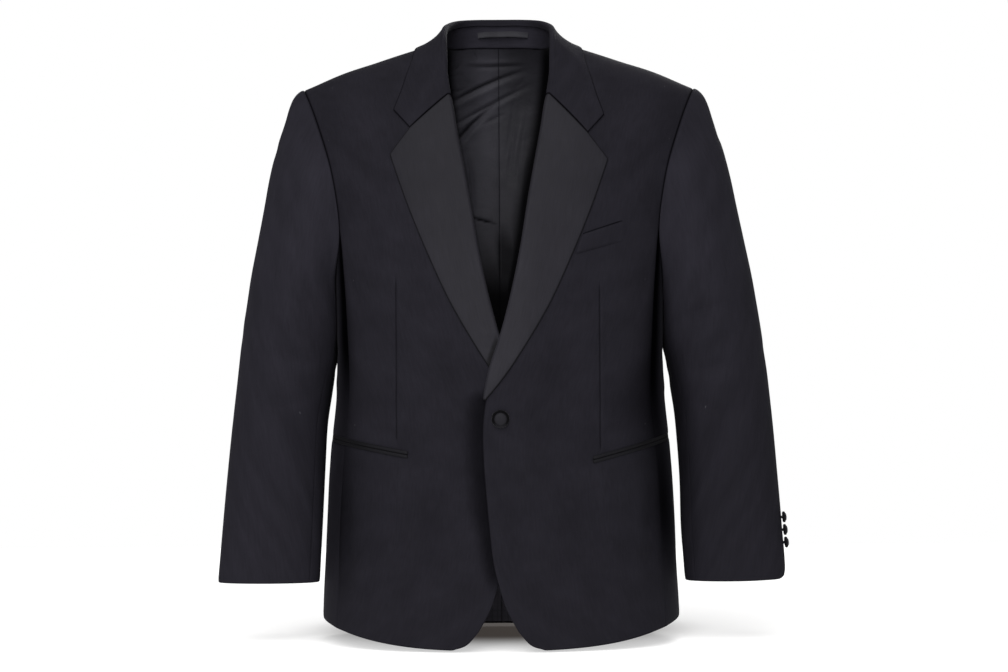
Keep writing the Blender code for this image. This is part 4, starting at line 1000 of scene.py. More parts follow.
def chart_and_dress(mesh, charts, worn_shade_and_light, names):
    """Gives a mesh its weave's chart by vertex, its darkening with painted shade and its painted light, its
    finishes and smooth shading.
    """
    loops = np.zeros(len(mesh.loops), np.int32)
    mesh.loops.foreach_get("vertex_index", loops)
    mesh.uv_layers.new(name="weave").data.foreach_set("uv", charts[loops].astype(np.float32).ravel())
    for kind, values in worn_shade_and_light.items():
        mesh.attributes.new(kind, "FLOAT", "POINT").data.foreach_set("value", values.astype(np.float32))
    for finish in names:
        mesh.materials.append(get_finish(finish))
    mesh.shade_smooth()


def place_object(name, data):
    """A new object in the scene, at the origin."""
    thing = bpy.data.objects.new(name, data)
    bpy.context.collection.objects.link(thing)
    return thing


def settle(piece, node):
    """The piece rides on the jacket's body and stands for its solid, which is hidden."""
    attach(piece, "root")
    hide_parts(node)


# Finishes

FINISHES = {}
PAINTED_LIGHT_MOST = 1.6
MIDDLE = (0.3, 0.7)
WOOL_SHEEN = 0.012
WOOL_GLOSS = 0.05
LINT = (0.12, 0.12, 0.13, 1)


def get_finish(name):
    """One of the cloths by name, made when it is first asked for."""
    makers = {"wool": make_wool, "satin": make_satin, "lining": make_lining,
              "button cloth": make_button_cloth}
    if name not in FINISHES:
        FINISHES[name] = makers[name]()
    return FINISHES[name]


def new_material(name):
    """A Principled material, its tree and its shader."""
    material = bpy.data.materials.new(name)
    material.use_nodes = True
    return material, material.node_tree, material.node_tree.nodes["Principled BSDF"]


def start_finish(name, colour, roughness, sheen, specular):
    """A Principled material with its plain values on its own sockets, its two ends and the cloth's colour."""
    material, tree, shader = new_material(name)
    plain = {"Roughness": roughness, "Sheen Weight": sheen, "Sheen Roughness": 0.45,
             "Specular IOR Level": specular}
    for socket, value in plain.items():
        shader.inputs[socket].default_value = value
    return material, tree, shader, np.array(getattr(bpy.context.scene.jacket_colours, colour))


def add_node(tree, kind, inputs=(), **settings):
    """A node with its settings made and its inputs linked, or set where they are plain values."""
    node = tree.nodes.new("ShaderNode" + kind)
    for key, value in settings.items():
        setattr(node, key, value)
    for key, value in dict(inputs).items():
        if isinstance(value, bpy.types.NodeSocket):
            tree.links.new(value, node.inputs[key])
        else:
            node.inputs[key].default_value = value
    return node


def weave_chart(tree, turn=0.0, stretch=1.0):
    """The piece's own chart of its cloth, in metres, turned and stretched."""
    chart = add_node(tree, "UVMap", uv_map="weave").outputs["UV"]
    place = {"Vector": chart, "Rotation": (0, 0, turn), "Scale": (1, stretch, 1)}
    return add_node(tree, "Mapping", place).outputs["Vector"]


def solid(colour):
    """A colour, or a grey given as one number, with its alpha."""
    return (*np.broadcast_to(colour, 3).tolist(), 1)


def ramp(tree, fac, low, high, places=(0.0, 1.0)):
    """A blend between two colours or greys over a range of a value."""
    node = add_node(tree, "ValToRGB", {"Fac": fac})
    for stop, colour, place in zip(node.color_ramp.elements, (low, high), places):
        stop.color = solid(colour)
        stop.position = place
    return node.outputs["Color"]


def threads(tree, pitch, turn):
    """Threads as bands across the chart, a pitch apart."""
    return add_node(tree, "TexWave", {
        "Vector": weave_chart(tree, turn), "Scale": 1 / (pitch * 3.2), "Distortion": 0.6,
        "Detail": 1.0}).outputs["Fac"]


def clouds(tree, size, detail, stretch=1.0, turn=0.0):
    """Soft uneven patches of this size."""
    return add_node(tree, "TexNoise", {
        "Vector": weave_chart(tree, turn, stretch), "Scale": 1 / size, "Detail": detail}).outputs["Fac"]


def patches(tree, low, high, *cloud):
    """Patches between two colours or greys, by the middle of the range of some clouds."""
    return ramp(tree, clouds(tree, *cloud), low, high, MIDDLE)


def blend(tree, kind, fac, first, second):
    """Two colours mixed by a share, in one of the mixing ways."""
    inputs = {0: fac, 6: first, 7: second}
    return add_node(tree, "Mix", inputs, data_type="RGBA", blend_type=kind).outputs[2]


def multiply(tree, first, second):
    """Two colours multiplied."""
    return blend(tree, "MULTIPLY", 1.0, first, second)


def raise_bumps(tree, shader, layers):
    """Bumps laid over each other: each layer has its height, its strength and its depth in metres."""
    normal = None
    for height, strength, depth in layers:
        inputs = {"Height": height, "Strength": strength, "Distance": depth}
        if normal is not None:
            inputs["Normal"] = normal
        normal = add_node(tree, "Bump", inputs).outputs["Normal"]
    tree.links.new(normal, shader.inputs["Normal"])


def attribute_of(tree, kind):
    """How far a piece is darkened, by pressing and painted shade, or painted lighter, at each point."""
    node = add_node(tree, "Attribute", attribute_name=kind, attribute_type="GEOMETRY")
    return node.outputs["Fac"]


def drive(tree, shader, socket, fac, low, high):
    """One of the shader's values, from low to high by a value of the cloth."""
    tree.links.new(ramp(tree, fac, low, high), shader.inputs[socket])


def painted_lighter(tree, body, most):
    """The cloth's colour, up to this many times as light where painted light lies on it."""
    lift = {"Value": attribute_of(tree, "painted_light"), "To Min": 1.0, "To Max": most}
    return multiply(tree, body, add_node(tree, "MapRange", lift).outputs["Result"])


def darkened_by_press_and_shade(tree, shader, body, dark, most):
    """The shader's colour: the cloth's, up to this share dark where it is pressed and where shade is painted.
    """
    share = ramp(tree, attribute_of(tree, "worn_and_shaded"), 0, most, (0.12, 0.95))
    tree.links.new(blend(tree, "MIX", share, body, solid(dark)), shader.inputs["Base Color"])


def make_wool():
    """Black worsted: a fine twill, faint nap and patches, a few specks of lint, seams pressed darker, painted
    shade and painted light.
    """
    material, tree, shader, colour = start_finish("black_wool", "wool", 0.82, WOOL_SHEEN, WOOL_GLOSS)
    shader.inputs["Sheen Tint"].default_value = (0.75, 0.74, 0.85, 1)
    twill = threads(tree, 0.6 * MM, math.radians(63))
    yarn = threads(tree, 0.45 * MM, 0)
    body = patches(tree, colour * 0.86, colour * 1.13, 45 * MM, 3)
    body = multiply(tree, body, ramp(tree, twill, 0.80, 1.12))
    body = multiply(tree, body, patches(tree, 0.90, 1.10, 2.2 * MM, 2, 0.12))
    lint = add_node(tree, "TexVoronoi", {
        "Vector": weave_chart(tree), "Scale": 1 / (26 * MM), "Randomness": 1.0}, feature="F1")
    specks = ramp(tree, lint.outputs["Distance"], 1, 0, (0.012, 0.024))
    some = ramp(tree, clouds(tree, 60 * MM, 1), 0, 1, (0.53, 0.62))
    body = blend(tree, "MIX", multiply(tree, specks, some), body, LINT)
    # Painted light, then pressed seams and painted shade, from the piece's attributes.
    darkened_by_press_and_shade(tree, shader, painted_lighter(tree, body, PAINTED_LIGHT_MOST), colour * 0.06, 1.0)
    worn_and_shaded = attribute_of(tree, "worn_and_shaded")
    drive(tree, shader, "Specular IOR Level", worn_and_shaded, WOOL_GLOSS, 0)
    drive(tree, shader, "Sheen Weight", worn_and_shaded, WOOL_SHEEN, 0)
    drive(tree, shader, "Roughness", clouds(tree, 30 * MM, 3), 0.76, 0.9)
    raise_bumps(tree, shader, (
        (clouds(tree, 26 * MM, 3), 0.35, 0.6 * MM),
        (clouds(tree, 1.3 * MM, 2), 0.22, 0.15 * MM),
        (twill, 0.30, 0.10 * MM),
        (yarn, 0.18, 0.06 * MM)))
    return material


def make_satin():
    """Silk satin: long floats along the cloth, a soft broad gloss, and faint cross creases."""
    material, tree, shader, colour = start_finish("black_satin", "satin", 0.60, 0.01, 0.08)
    floats = clouds(tree, 1.6 * MM, 2, 0.06)
    body = patches(tree, colour * 0.92, colour * 1.08, 60 * MM, 2)
    body = multiply(tree, body, ramp(tree, floats, 0.9, 1.1, MIDDLE))
    # Painted shade and painted light, from the piece's attributes.
    darkened_by_press_and_shade(tree, shader, painted_lighter(tree, body, PAINTED_LIGHT_MOST), colour * 0.15, 0.9)
    drive(tree, shader, "Roughness", clouds(tree, 18 * MM, 3), 0.56, 0.68)
    raise_bumps(tree, shader, (
        (clouds(tree, 30 * MM, 2, 2.5), 0.35, 0.6 * MM),
        (threads(tree, 0.35 * MM, 0), 0.10, 0.03 * MM),
        (floats, 0.12, 0.05 * MM)))
    return material


def make_lining():
    """Lining: a thin bright twill with small crinkles."""
    material, tree, shader, colour = start_finish("black_lining", "lining", 0.50, 0.02, 0.25)
    twill = threads(tree, 0.4 * MM, math.radians(45))
    body = patches(tree, colour * 0.86, colour * 1.14, 40 * MM, 3)
    body = multiply(tree, body, ramp(tree, twill, 0.9, 1.08))
    # Painted shade, and painted light up to four times as light, from the piece's attributes.
    darkened_by_press_and_shade(tree, shader, painted_lighter(tree, body, 4.0), colour * 0.07, 0.97)
    drive(tree, shader, "Specular IOR Level", attribute_of(tree, "worn_and_shaded"), 0.14, 0.01)
    drive(tree, shader, "Roughness", clouds(tree, 15 * MM, 3), 0.50, 0.64)
    raise_bumps(tree, shader, (
        (clouds(tree, 22 * MM, 3, 1.6), 0.55, 1.2 * MM),
        (clouds(tree, 7 * MM, 3, 1.3, 0.6), 0.3, 0.5 * MM),
        (twill, 0.12, 0.04 * MM)))
    return material


def make_button_cloth():
    """Button covers: the satin pulled tight, with its threads across the dome."""
    material, tree, shader, colour = start_finish("covered_button", "buttons", 0.6, 0.08, 0.12)
    weave = threads(tree, 0.5 * MM, 0.4)
    # Painted shade from the piece's attribute: the dark ring round the dome.
    darkened_by_press_and_shade(tree, shader, ramp(tree, weave, colour * 0.85, colour * 1.15), colour * 0.12, 0.95)
    drive(tree, shader, "Specular IOR Level", attribute_of(tree, "worn_and_shaded"), 0.10, 0.02)
    drive(tree, shader, "Roughness", clouds(tree, 3 * MM, 2), 0.55, 0.7)
    raise_bumps(tree, shader, ((clouds(tree, 2.5 * MM, 2), 0.25, 0.2 * MM), (weave, 0.2, 0.05 * MM)))
    return material


# Fronts

def across_shares(length, centre):
    """Shares across a front, crowded at both its edges and along its dart."""
    first = spaced(length * centre, STEP) * centre
    second = centre + spaced(length * (1 - centre), STEP) * (1 - centre)
    return np.concatenate((first, second[1:]))


def front_grid(side):
    """One front: rows climb from the hem to the shoulder seam, and one column follows the dart.

    Each row runs straight in x between the front's two edges. Its height blends the two edges' heights,
    and adds what the hem and the shoulder differ from straight lines.
    """
    top = armhole(FRONT_LOW)
    climb = seam_climb(top, HEM_FRONT_DROP)
    seam = side_seam(climb, top, HEM_FRONT_DROP)
    arm = armhole(armhole_places(FRONT_LOW, 0, (False, True)))
    end = np.concatenate((seam, arm[1:, [0, 2]]))
    up = climbed(end[:, 1])
    edge = metres(FRONT_EDGE)
    start_z = edge[0, 1] + up * (edge[-1, 1] - edge[0, 1])
    start = stacked(line_by_height(FRONT_EDGE, start_z), start_z)
    start[:, 0] += EDGE_SPREAD[side] * fall(start_z, -590 * MM, 80 * MM)
    start[-1] = NECK_X, 0
    end[-1, 1] = ridge_height(end[-1, 0])

    place, dart_top, dart_low = (value * MM for value in DART[side])
    free = rise(end[:, 1], dart_top, 150 * MM)
    centre = between((place - start[:, 0]) / (end[:, 0] - start[:, 0]), DART_SHARE, free)
    shares = across_shares(FRONT_WIDTH, DART_SHARE)[None, :]
    centre = centre[:, None]
    across = np.where(shares < DART_SHARE, shares / DART_SHARE * centre,
                      centre + (shares - DART_SHARE) / (1 - DART_SHARE) * (1 - centre))

    corner = metres(CORNER_HEM) + (EDGE_SPREAD[side], 0)
    low_x = corner[0, 0] + across * (seam[0, 0] - corner[0, 0])
    plain_z = hem_height(low_x / half_width(HEM_SIDE_Z), HEM_FRONT_DROP)
    low_z = np.where(low_x < corner[-1, 0], curve_through(corner[:, 0], corner[:, 1], low_x), plain_z)
    high_z = ridge_height(NECK_X + across * (end[-1, 0] - NECK_X))
    x, z = fill_rows(start, end, low_z, high_z, up, across)
    grid = front_points(x, np.minimum(z, ridge_height(x)), side)
    grid[-1, :, 1] = CENTRE_Y
    seat_on_armhole(grid, arm, climb, across)
    return grid, len(climb), place, (dart_top, dart_low)


def fill_rows(start, end, low_z, high_z, up, across):
    """x and z of rows that run straight from start to end, bent as the lowest and the highest row are."""
    up = up[:, None]
    low_bend = low_z - between(start[0, 1], end[0, 1], across)
    high_bend = high_z - between(start[-1, 1], end[-1, 1], across)
    x = between(start[:, :1], end[:, :1], across)
    z = between(start[:, 1:], end[:, 1:], across)
    return x, z + low_bend * (1 - up) + high_bend * up


def seat_on_armhole(grid, arm, climb, across):
    """Moves the outer ends of the rows onto the armhole, less towards the centre and down the side seam."""
    shift = arm[:, 1] - grid[-len(arm):, -1, 1]
    shift = np.concatenate((shift[0] * climb[:-1] ** SEAM_SETTLE, shift))
    grid[..., 1] += shift[:, None] * across ** 3


def panel_relief(x, z, table, seed):
    """Creases and slow ripples of a panel, over its chart in mm."""
    return creases(x, z, table) + cloth_sizes().ripple * ripples(x, z, seed)


def body_relief(grid, table, seed):
    """The relief of a body panel, charted by x and z."""
    return panel_relief(np.abs(grid[..., 0]) / MM, grid[..., 2] / MM, table, seed)


def facing(reaches):
    """Faces inside a front that show lining, and not its wool facing or its turned-up hem."""
    near = (reaches[2] < FACING_WIDTH) | (reaches[0] < HEM_WIDTH)
    return ~near[:-1, :-1]


def pocket_line(side):
    """The hip pocket's opening: its inner and outer ends' x and z."""
    inner = metres(POCKET_INNER) - (0, LEFT_DROP * SIDES[side])
    width = half_width(inner[1])
    return inner, np.array((POCKET_OUTER_SHARE * width, POCKET_OUTER_Z))


def pocket_dip(x, z, side, depth):
    """The cloth sinks a little along the pocket's opening, where its jets are sewn in."""
    inner, outer = pocket_line(side)
    run = outer - inner
    length = np.linalg.norm(run)
    along = ((x - inner[0]) * run[0] + (z - inner[1]) * run[1]) / length ** 2
    off = ((x - inner[0]) * -run[1] + (z - inner[1]) * run[0]) / length
    inside = rise(along, -0.05, 0.06)
    return -depth * inside * bell(off, DIP_WIDTH)


def side_shade(side, column, z):
    """How strongly painted shade darkens body and sleeve where they meet, at each height, from their table.
    """
    shown = fall(z, -165 * MM, 40 * MM)
    return read_column(SIDE_SHADE[side], SIDE_SHADE_COLUMNS, column, z) * shown


def lap_shadow(x, z):
    """Painted shadow on the front that laps under, close beside the edge of the front over it."""
    beside = x + line_by_height(FRONT_EDGE, z)
    shown = rise(z, -705 * MM, 45 * MM) * smooth((BREAK_Z - z) / (20 * MM) + 1)
    reach = (34 - 9 * fall(z, -580 * MM, 45 * MM)) * MM
    return 0.66 * shown * smooth((reach - beside) / (reach - 4 * MM))


def build_front(side):
    """A front with its dart, its creases and the dip along its pocket, painted shade beside the sleeve and
    along the pocket, and on the right front painted shadow beside the edge lapped over it.
    """
    grid, below, place, (dart_top, dart_low) = front_grid(side)
    normals = grid_normals(grid, torso_axis(grid))
    normals[-1] = ridge_normals(grid[-1, :, 0])
    normals[:below, -1] = ring_normals(grid[:below, -1])
    outer = towards(normals[:, -1], grid[:, -1], FRONT_LOW)
    outer[below - 1:] = armhole_sinks(armhole_places(FRONT_LOW, 0, (False, True)))
    shoulder = towards(normals[-1], grid[-1], 0)
    relief = body_relief(grid, FRONT_CREASES[side], SIDES[side])
    x, z = grid[..., 0], grid[..., 2]
    on = rise(z, dart_low, 6 * MM) * fall(z, dart_top, 16 * MM)
    beside = (x - place) * SIDES[side]
    fold, fold_x, fold_width = DART_FOLD
    relief -= on * sunk(np.abs(beside), *DART_SUNK)
    relief += on * fold * bell(beside - fold_x, fold_width)
    darkening_and_shade = 0.55 * on * np.exp(-np.abs(beside) / (0.9 * MM))
    # On the right front, painted shadow beside the edge of the front that laps over it.
    if side == "right":
        darkening_and_shade = np.maximum(darkening_and_shade, lap_shadow(x, z))
    # Painted shade along the pocket's opening.
    darkening_and_shade = np.maximum(darkening_and_shade, -pocket_dip(x, z, side, 0.4))
    reaches = edge_reach(grid)
    # Painted shade beside the sleeve, out from the side seam.
    shade_reach = read_column(SIDE_SHADE[side], SIDE_SHADE_COLUMNS, "reach", z)
    darkening_and_shade = np.maximum(darkening_and_shade, side_shade(side, "front", z) * np.exp(-reaches[3] / shade_reach))
    relief += pocket_dip(x, z, side, DIP_DEPTH)
    relief *= rise(reaches[2], -10 * MM, 30 * MM)
    seam_press = np.where(np.arange(len(grid)) < below - 1, 0.3, 1)
    edges = ("free", shoulder, "free", outer)
    make_shell("front_cloth_" + side, "front_" + side, grid, normals, edges, relief, side=side, darkening_and_shade=darkening_and_shade,
               inside=("lining", facing(reaches)), press=(0.35, 0.6, 0.6, seam_press))


# Sides and back

def build_side(side):
    """The underarm panel, from the front seam round the side to the back seam, row by row up the form."""
    fine = np.linspace(FRONT_LOW, BACK_LOW, SIDE_STATIONS)
    across = np.linspace(-1, 1, SIDE_STATIONS)
    hem_z = np.full(SIDE_STATIONS, HEM_SIDE_Z)
    length = run_length(ring_points(across * turn_of_share(SIDE_SEAM_HEM), hem_z))
    across = np.interp(spaced(length[-1], STEP) * length[-1], length, across)
    length = run_length(armhole(fine))
    places = np.interp((across + 1) / 2, length / length[-1], fine)
    arm_at = armhole(places)
    hem_share = np.cos(across * turn_of_share(SIDE_SEAM_HEM)) ** (2 / RING_POWER)
    hem_z = hem_height(hem_share, np.where(across < 0, HEM_FRONT_DROP, HEM_BACK_DROP))
    climb = spaced(SIDE_HEIGHT, STEP)[:, None]
    z = hem_z[None, :] + climb * (arm_at[None, :, 2] - hem_z[None, :])
    front_turn = turn_of_share(side_seam_share(climb, arm_at[0]))
    back_turn = turn_of_share(side_seam_share(climb, arm_at[-1]))
    grid = ring_points(across[None, :] * np.where(across[None, :] < 0, front_turn, back_turn), z)
    grid += (arm_at - grid[-1])[None, :, :] * (climb[..., None] ** SEAM_SETTLE)
    normals = grid_normals(grid, torso_axis(grid))
    ways = []
    for seam, place in ((0, FRONT_LOW), (-1, BACK_LOW)):
        normals[:, seam] = ring_normals(grid[:, seam])
        ways.append(towards(normals[:, seam], grid[:, seam], place))
    chart = np.broadcast_to(across[None, :] * 30, z.shape)
    relief = panel_relief(chart, grid[..., 2] / MM, SIDE_CREASES[side], SIDES[side])
    front_half = np.broadcast_to(across[None, :] < 0, z.shape)
    relief += np.where(front_half, pocket_dip(grid[..., 0], grid[..., 2], side, DIP_DEPTH), 0)
    reaches = edge_reach(grid)
    # Painted shade where the sleeve lies beside the panel, near its front seam.
    darkening_and_shade = side_shade(side, "panel", grid[..., 2]) * smooth(1.1 - reaches[2] / (70 * MM))
    edges = ("free", armhole_sinks(places), *ways)
    make_shell("side_cloth_" + side, "side_" + side, grid, normals, edges, relief, side=side, darkening_and_shade=darkening_and_shade,
               inside=("lining", reaches[0][:-1, :-1] > HEM_WIDTH), press=(0.35, 1, 0.3, 0.6))


def back_grid(columns, climb, arm):
    """Half of the back: rows from the hem to the neck and the shoulder seam, between their edges."""
    top = armhole(BACK_LOW)
    seam = side_seam(climb, top, HEM_BACK_DROP)
    end = np.concatenate((seam, arm[1:, [0, 2]]))
    across = columns[None, :]
    low_x = across * seam[0, 0]
    low_z = hem_height(low_x / half_width(HEM_SIDE_Z), HEM_BACK_DROP)
    high_x = across * end[-1, 0]
    neck = metres([row[:2] for row in COLLAR[:5]])
    high_z = np.where(high_x < NECK_X, curve_through(neck[:, 0], neck[:, 1], high_x), ridge_height(high_x))
    end[-1, 1] = high_z[0, -1]
    up = climbed(end[:, 1])
    start_z = low_z[0, 0] + up * (high_z[0, 0] - low_z[0, 0])
    start = stacked(0 * start_z, start_z)
    x, z = fill_rows(start, end, low_z, high_z, up, across)
    grid = stacked(x, back_y(x, z), z)
    grid[-1, high_x[0] >= NECK_X, 1] = CENTRE_Y
    seat_on_armhole(grid, arm, climb, across)
    return grid


def back_normals(grid, climb):
    """Normals of half the back: level across the centre seam, and shared along the other seams."""
    normals = grid_normals(grid, torso_axis(grid))
    shoulder = grid[-1, :, 0] >= NECK_X
    normals[-1, shoulder] = ridge_normals(grid[-1, shoulder, 0])
    normals[:, 0, 0] = 0
    normals = unit(normals)
    normals[:len(climb), -1] = ring_normals(grid[:len(climb), -1])
    return normals


def back_seams(grid, normals, places):
    """The ways in which half the back sinks at its top, centre and outer edges."""
    outer = towards(normals[:, -1], grid[:, -1], BACK_LOW)
    outer[-len(places):] = armhole_sinks(places)
    return towards(normals[-1], grid[-1], ARMHOLE_END), normals[:, 0], outer


def build_back(side):
    """Half the back, creased, with its centre, side and shoulder seams sunk."""
    climb = seam_climb(armhole(BACK_LOW), HEM_BACK_DROP)
    places = armhole_places(BACK_LOW, ARMHOLE_END, (False, True))
    grid = back_grid(spaced(BACK_WIDTH, STEP), climb, armhole(places))
    normals = back_normals(grid, climb)
    relief = body_relief(grid, BACK_CREASES[side], 2 + SIDES[side])
    seam_press = np.where(np.arange(len(grid)) < len(climb) - 1, 0.6, 1)
    edges = ("free", *back_seams(grid, normals, places))
    make_shell("back_cloth_" + side, "back_" + side, grid, normals, edges, relief, side=side,
               press=(0.35, 0.6, 0.7, seam_press))


def lining_columns():
    """Shares across half the lining: fine where it shows between the lapels."""
    fine = np.linspace(3.5, 78, 44) * MM
    coarse = np.linspace(84, 196, 20) * MM
    last = LINING_WIDTH - NEAR_EDGE[-2::-1]
    return np.concatenate((NEAR_EDGE[:-1], fine, coarse, last)) / LINING_WIDTH


def roll_shade(x, z, side):
    """How far each point of the lining is inside the roll line in front of it, and the width of the painted
    shade there.
    """
    under = np.array(LINING_ROLL_SHADE[side], float)
    reach = curve_through(under[:, 0], under[:, 1], z) - np.abs(x) * np.where(x * SIDES[side] >= 0, 1, -1)
    return reach, curve_through(under[:, 0], under[:, 2], z)


def lining_marks(x, z, side):
    """Where the lining is painted dark: its seam line, painted shade in its valleys, beside the roll lines,
    deep in the V and round the seam below it, two dark lines near its hem, and dark streaks low down.
    """
    seam = 0.75 * np.exp(-np.abs(x) / 0.7)
    lines = -creases(x, z, [(*row[:5], 2.2, 1.1, -row[8]) for row in LINING_VALLEYS]) / MM
    reach, width = roll_shade(x, z, side)
    beside = np.exp(-(np.maximum(reach, 0) / width) ** 2 - (np.maximum(-reach - 14, 0) / 50) ** 2)
    beside *= rise(z, -560, 120)
    deep = smooth((LINING_DEEP_SHADE[0] - z) / LINING_DEEP_SHADE[1])
    low = 0.74 * smooth(x / 3) * smooth((-204 - z - 0.7 * x) / 52)
    seam_shade = 0.85 * np.exp(-np.abs(x) / 4.5) * fall(z, -218, 36)
    deep = np.maximum.reduce((deep + 0 * x, low, seam_shade)) * rise(z, -600, 90)
    deep *= rise(reach, -44, 30)
    hem = sum(0.3 * np.exp(-np.abs(z - line) / 1.3) for line in LINING_HEM_LINES)
    wave = np.sin(x * 0.9 + 0.6 * np.sin(x * 0.37))
    streaks = 0.35 * fall(z, -600, 60) * smooth(1.4 * wave - 0.4)
    return np.maximum.reduce((seam, lines, beside, deep, hem, streaks))


def lining_painted_light(x, z, side):
    """Painted light on the lining: lighter left of its seam, out beside the lapels and close above its hem.
    """
    beside = 0.336 * fall(x, 22, 44) * rise(x, -120, 40) * rise(z, -300, 130)
    beyond = 0.47 * fall(roll_shade(x, z, side)[0], -30, 90)
    return np.maximum.reduce((beside, beyond, fall(z, -600, 140) + 0 * x))


def build_lining(side):
    """The back's lining, just inside each half of the back, with folds that rise towards the inside."""
    climb = spaced(LINING_HEIGHT, LINING_STEP, (True, False))
    places = armhole_places(BACK_LOW, ARMHOLE_END, (False, True), 1.7 * MM)
    grid = back_grid(lining_columns(), climb, armhole(places))
    cloth = cloth_sizes()
    up, down = edge_reach(grid)[:2]
    lift = LINING_HEM_RISE * np.clip(1 - up / (60 * MM), 0, 1)
    neck = 1 - rise(grid[..., 0], 50 * MM, 24 * MM)
    lift = lift - LINING_TOP_DROP * neck * smooth(1 - down / (30 * MM))
    grid[..., 2] += lift
    grid[..., 1] = np.where(lift != 0, back_y(grid[..., 0], grid[..., 2]), grid[..., 1])
    normals = back_normals(grid, climb)
    x, z = grid[..., 0] * SIDES[side] / MM, grid[..., 2] / MM
    folds = creases(x, z, LINING_FOLDS) + creases(x, z, [row[:8] for row in LINING_VALLEYS])
    (x0, z0, x1, z1), depth = LINING_EDGE
    step = rise(x, x0, 3) * fall(x, x1, 8)
    below = z - (z0 + (x - x0) / (x1 - x0) * (z1 - z0))
    folds += depth * MM * step * np.where(below > 0, bell(below, 9), 0)
    slow = (1 + ripples(x, z, 4)) * cloth.ripple
    pleat = 0.7 * MM * bell(np.abs(x) - 4.2, 1.1) * (side == "right") * fall(z, -90, 40)
    gap = cloth.wall + SEAT_GAP + LINING_GAP
    seam = sunk(np.abs(x) * MM, 0.4 * MM, 1.2 * MM)
    reaches = edge_reach(grid)
    relief = seam - folds - slow - pleat
    relief = relief * smooth(reaches[0] / (40 * MM)) * smooth(reaches[3] / (30 * MM))
    keep = body_relief(grid, BACK_CREASES[side], 2 + SIDES[side])
    relief = relief + np.minimum(keep, 0) * smooth(reaches[3] / (14 * MM))
    relief += 1.0 * MM * neck * smooth(1 - down / (25 * MM))
    grid = grid - normals * gap
    # Painted shadow: a dark line along the lining's top, under the stand, fainter near the centre.
    top = (0.35 + 0.65 * rise(np.abs(x), 40, 10)) * smooth(1.5 - down / MM)
    darkening_and_shade = np.maximum(lining_marks(x, z, side), top)
    edges = ("free", "plain", "plain", "plain")
    make_shell("back_lining_" + side, "lining_" + side, grid, normals, edges, relief, cloth.lining, "lining",
               side=side, painted_light=lining_painted_light(x, z, side), press=(0.15, 1, 1, 1), darkening_and_shade=darkening_and_shade)


# Sleeves

def sleeve_points(turn, z, side):
    """The sleeve's tube: turn is 0 outwards, a quarter turn in front and a half turn against the body."""
    column = {name: read_column(SLEEVE, SLEEVE_COLUMNS, name, z) for name in SLEEVE_COLUMNS[1:]}
    for name in EASE_COLUMNS[1:]:
        column[name] = column[name] + read_column(SLEEVE_EASE[side], EASE_COLUMNS, name, z)
    middle = (column["outer"] + column["inner"]) / 2
    reach = (column["outer"] - column["inner"]) / 2
    corner = 2 * np.maximum(-np.cos(turn), 0) * np.abs(np.sin(turn))
    x = middle + reach * np.cos(turn) - column["pull"] * np.sin(turn) ** 2 - column["hug"] * corner
    y = column["centre_y"] - column["half_depth"] * np.sin(turn)
    return stacked(x, y, z)


def sleeve_grid(places, side):
    """Part of the sleeve: each column leaves its place on the armhole and settles onto the tube."""
    arm = armhole(places)
    turn = np.unwrap(np.arctan2(CENTRE_Y - arm[:, 1], arm[:, 2] - ARMHOLE_CENTRE_Z))
    middle = len(turn) // 2
    turn = turn - 2 * math.pi * round((turn[middle] - places[middle] * math.pi / 5) / (2 * math.pi))
    rows = spaced(SLEEVE_LENGTH, STEP)
    rows = (rows * (0.45 + 0.55 * rows))[:, None]
    z = arm[None, :, 2] + (CUFF_Z - arm[None, :, 2]) * rows
    tube = sleeve_points(np.broadcast_to(turn[None, :], z.shape), z, side)
    start = sleeve_points(turn, arm[:, 2], side)
    below = arm[None, :, 2] - z
    reach = HEAD_REACH[0] + HEAD_REACH[1] * np.abs(np.sin(turn / 2)) ** 1.2
    stay = np.exp(-(below / reach[None, :]) ** 1.5)
    grid = tube + (arm - start)[None, :, :] * stay[..., None]
    rope = below / ROPE_WIDTH * np.exp(1 - below / ROPE_WIDTH)
    grid[..., 2] += ROPE_RISE * rope * np.maximum(np.cos(turn), 0)[None, :]
    return grid, np.broadcast_to(turn[None, :], z.shape)


def build_sleeve(side, name, first, last):
    """The top sleeve runs over the outside from the hindarm to the forearm seam, the under one inside."""
    places = armhole_places(first, last, (True, True))
    wide = np.concatenate(((first - SEAM_MARGIN,), places, (last + SEAM_MARGIN,)))
    grid, turn = sleeve_grid(wide, side)
    normals = grid_normals(grid, grid.mean(axis=1, keepdims=True))[:, 1:-1]
    grid, turn = grid[:, 1:-1], turn[:, 1:-1]
    if np.mean(normals[BELOW_HEAD_ROW:, :, 0] * np.cos(turn[BELOW_HEAD_ROW:])) < 0:
        normals = -normals
    ways = [towards(normals[:, seam], grid[:, seam], places[seam]) for seam in (0, -1)]
    chart = np.degrees((turn + math.pi / 2) % (2 * math.pi) - math.pi / 2)
    relief = panel_relief(chart, grid[..., 2] / MM, SLEEVE_CREASES[side], 3 * SIDES[side])
    inside = ("lining", edge_reach(grid)[1][:-1, :-1] > CUFF_TURN_IN)
    edges = (armhole_sinks(places), "free", *ways)
    # Painted shade along the sleeve's side that lies against the body.
    start, width = SLEEVE_SHADE[side]
    darkening_and_shade = side_shade(side, "sleeve", grid[..., 2]) * rise(chart, start, width)
    darkening_and_shade *= fall(chart, 250, 40)
    make_shell(f"sleeve_{name}_cloth_{side}", f"sleeve_{name}_{side}", grid, normals, edges, relief,
               inside=inside, side=side, press=(1, 0.3, 0.35, 0.35), darkening_and_shade=darkening_and_shade)


# Lapels and collar

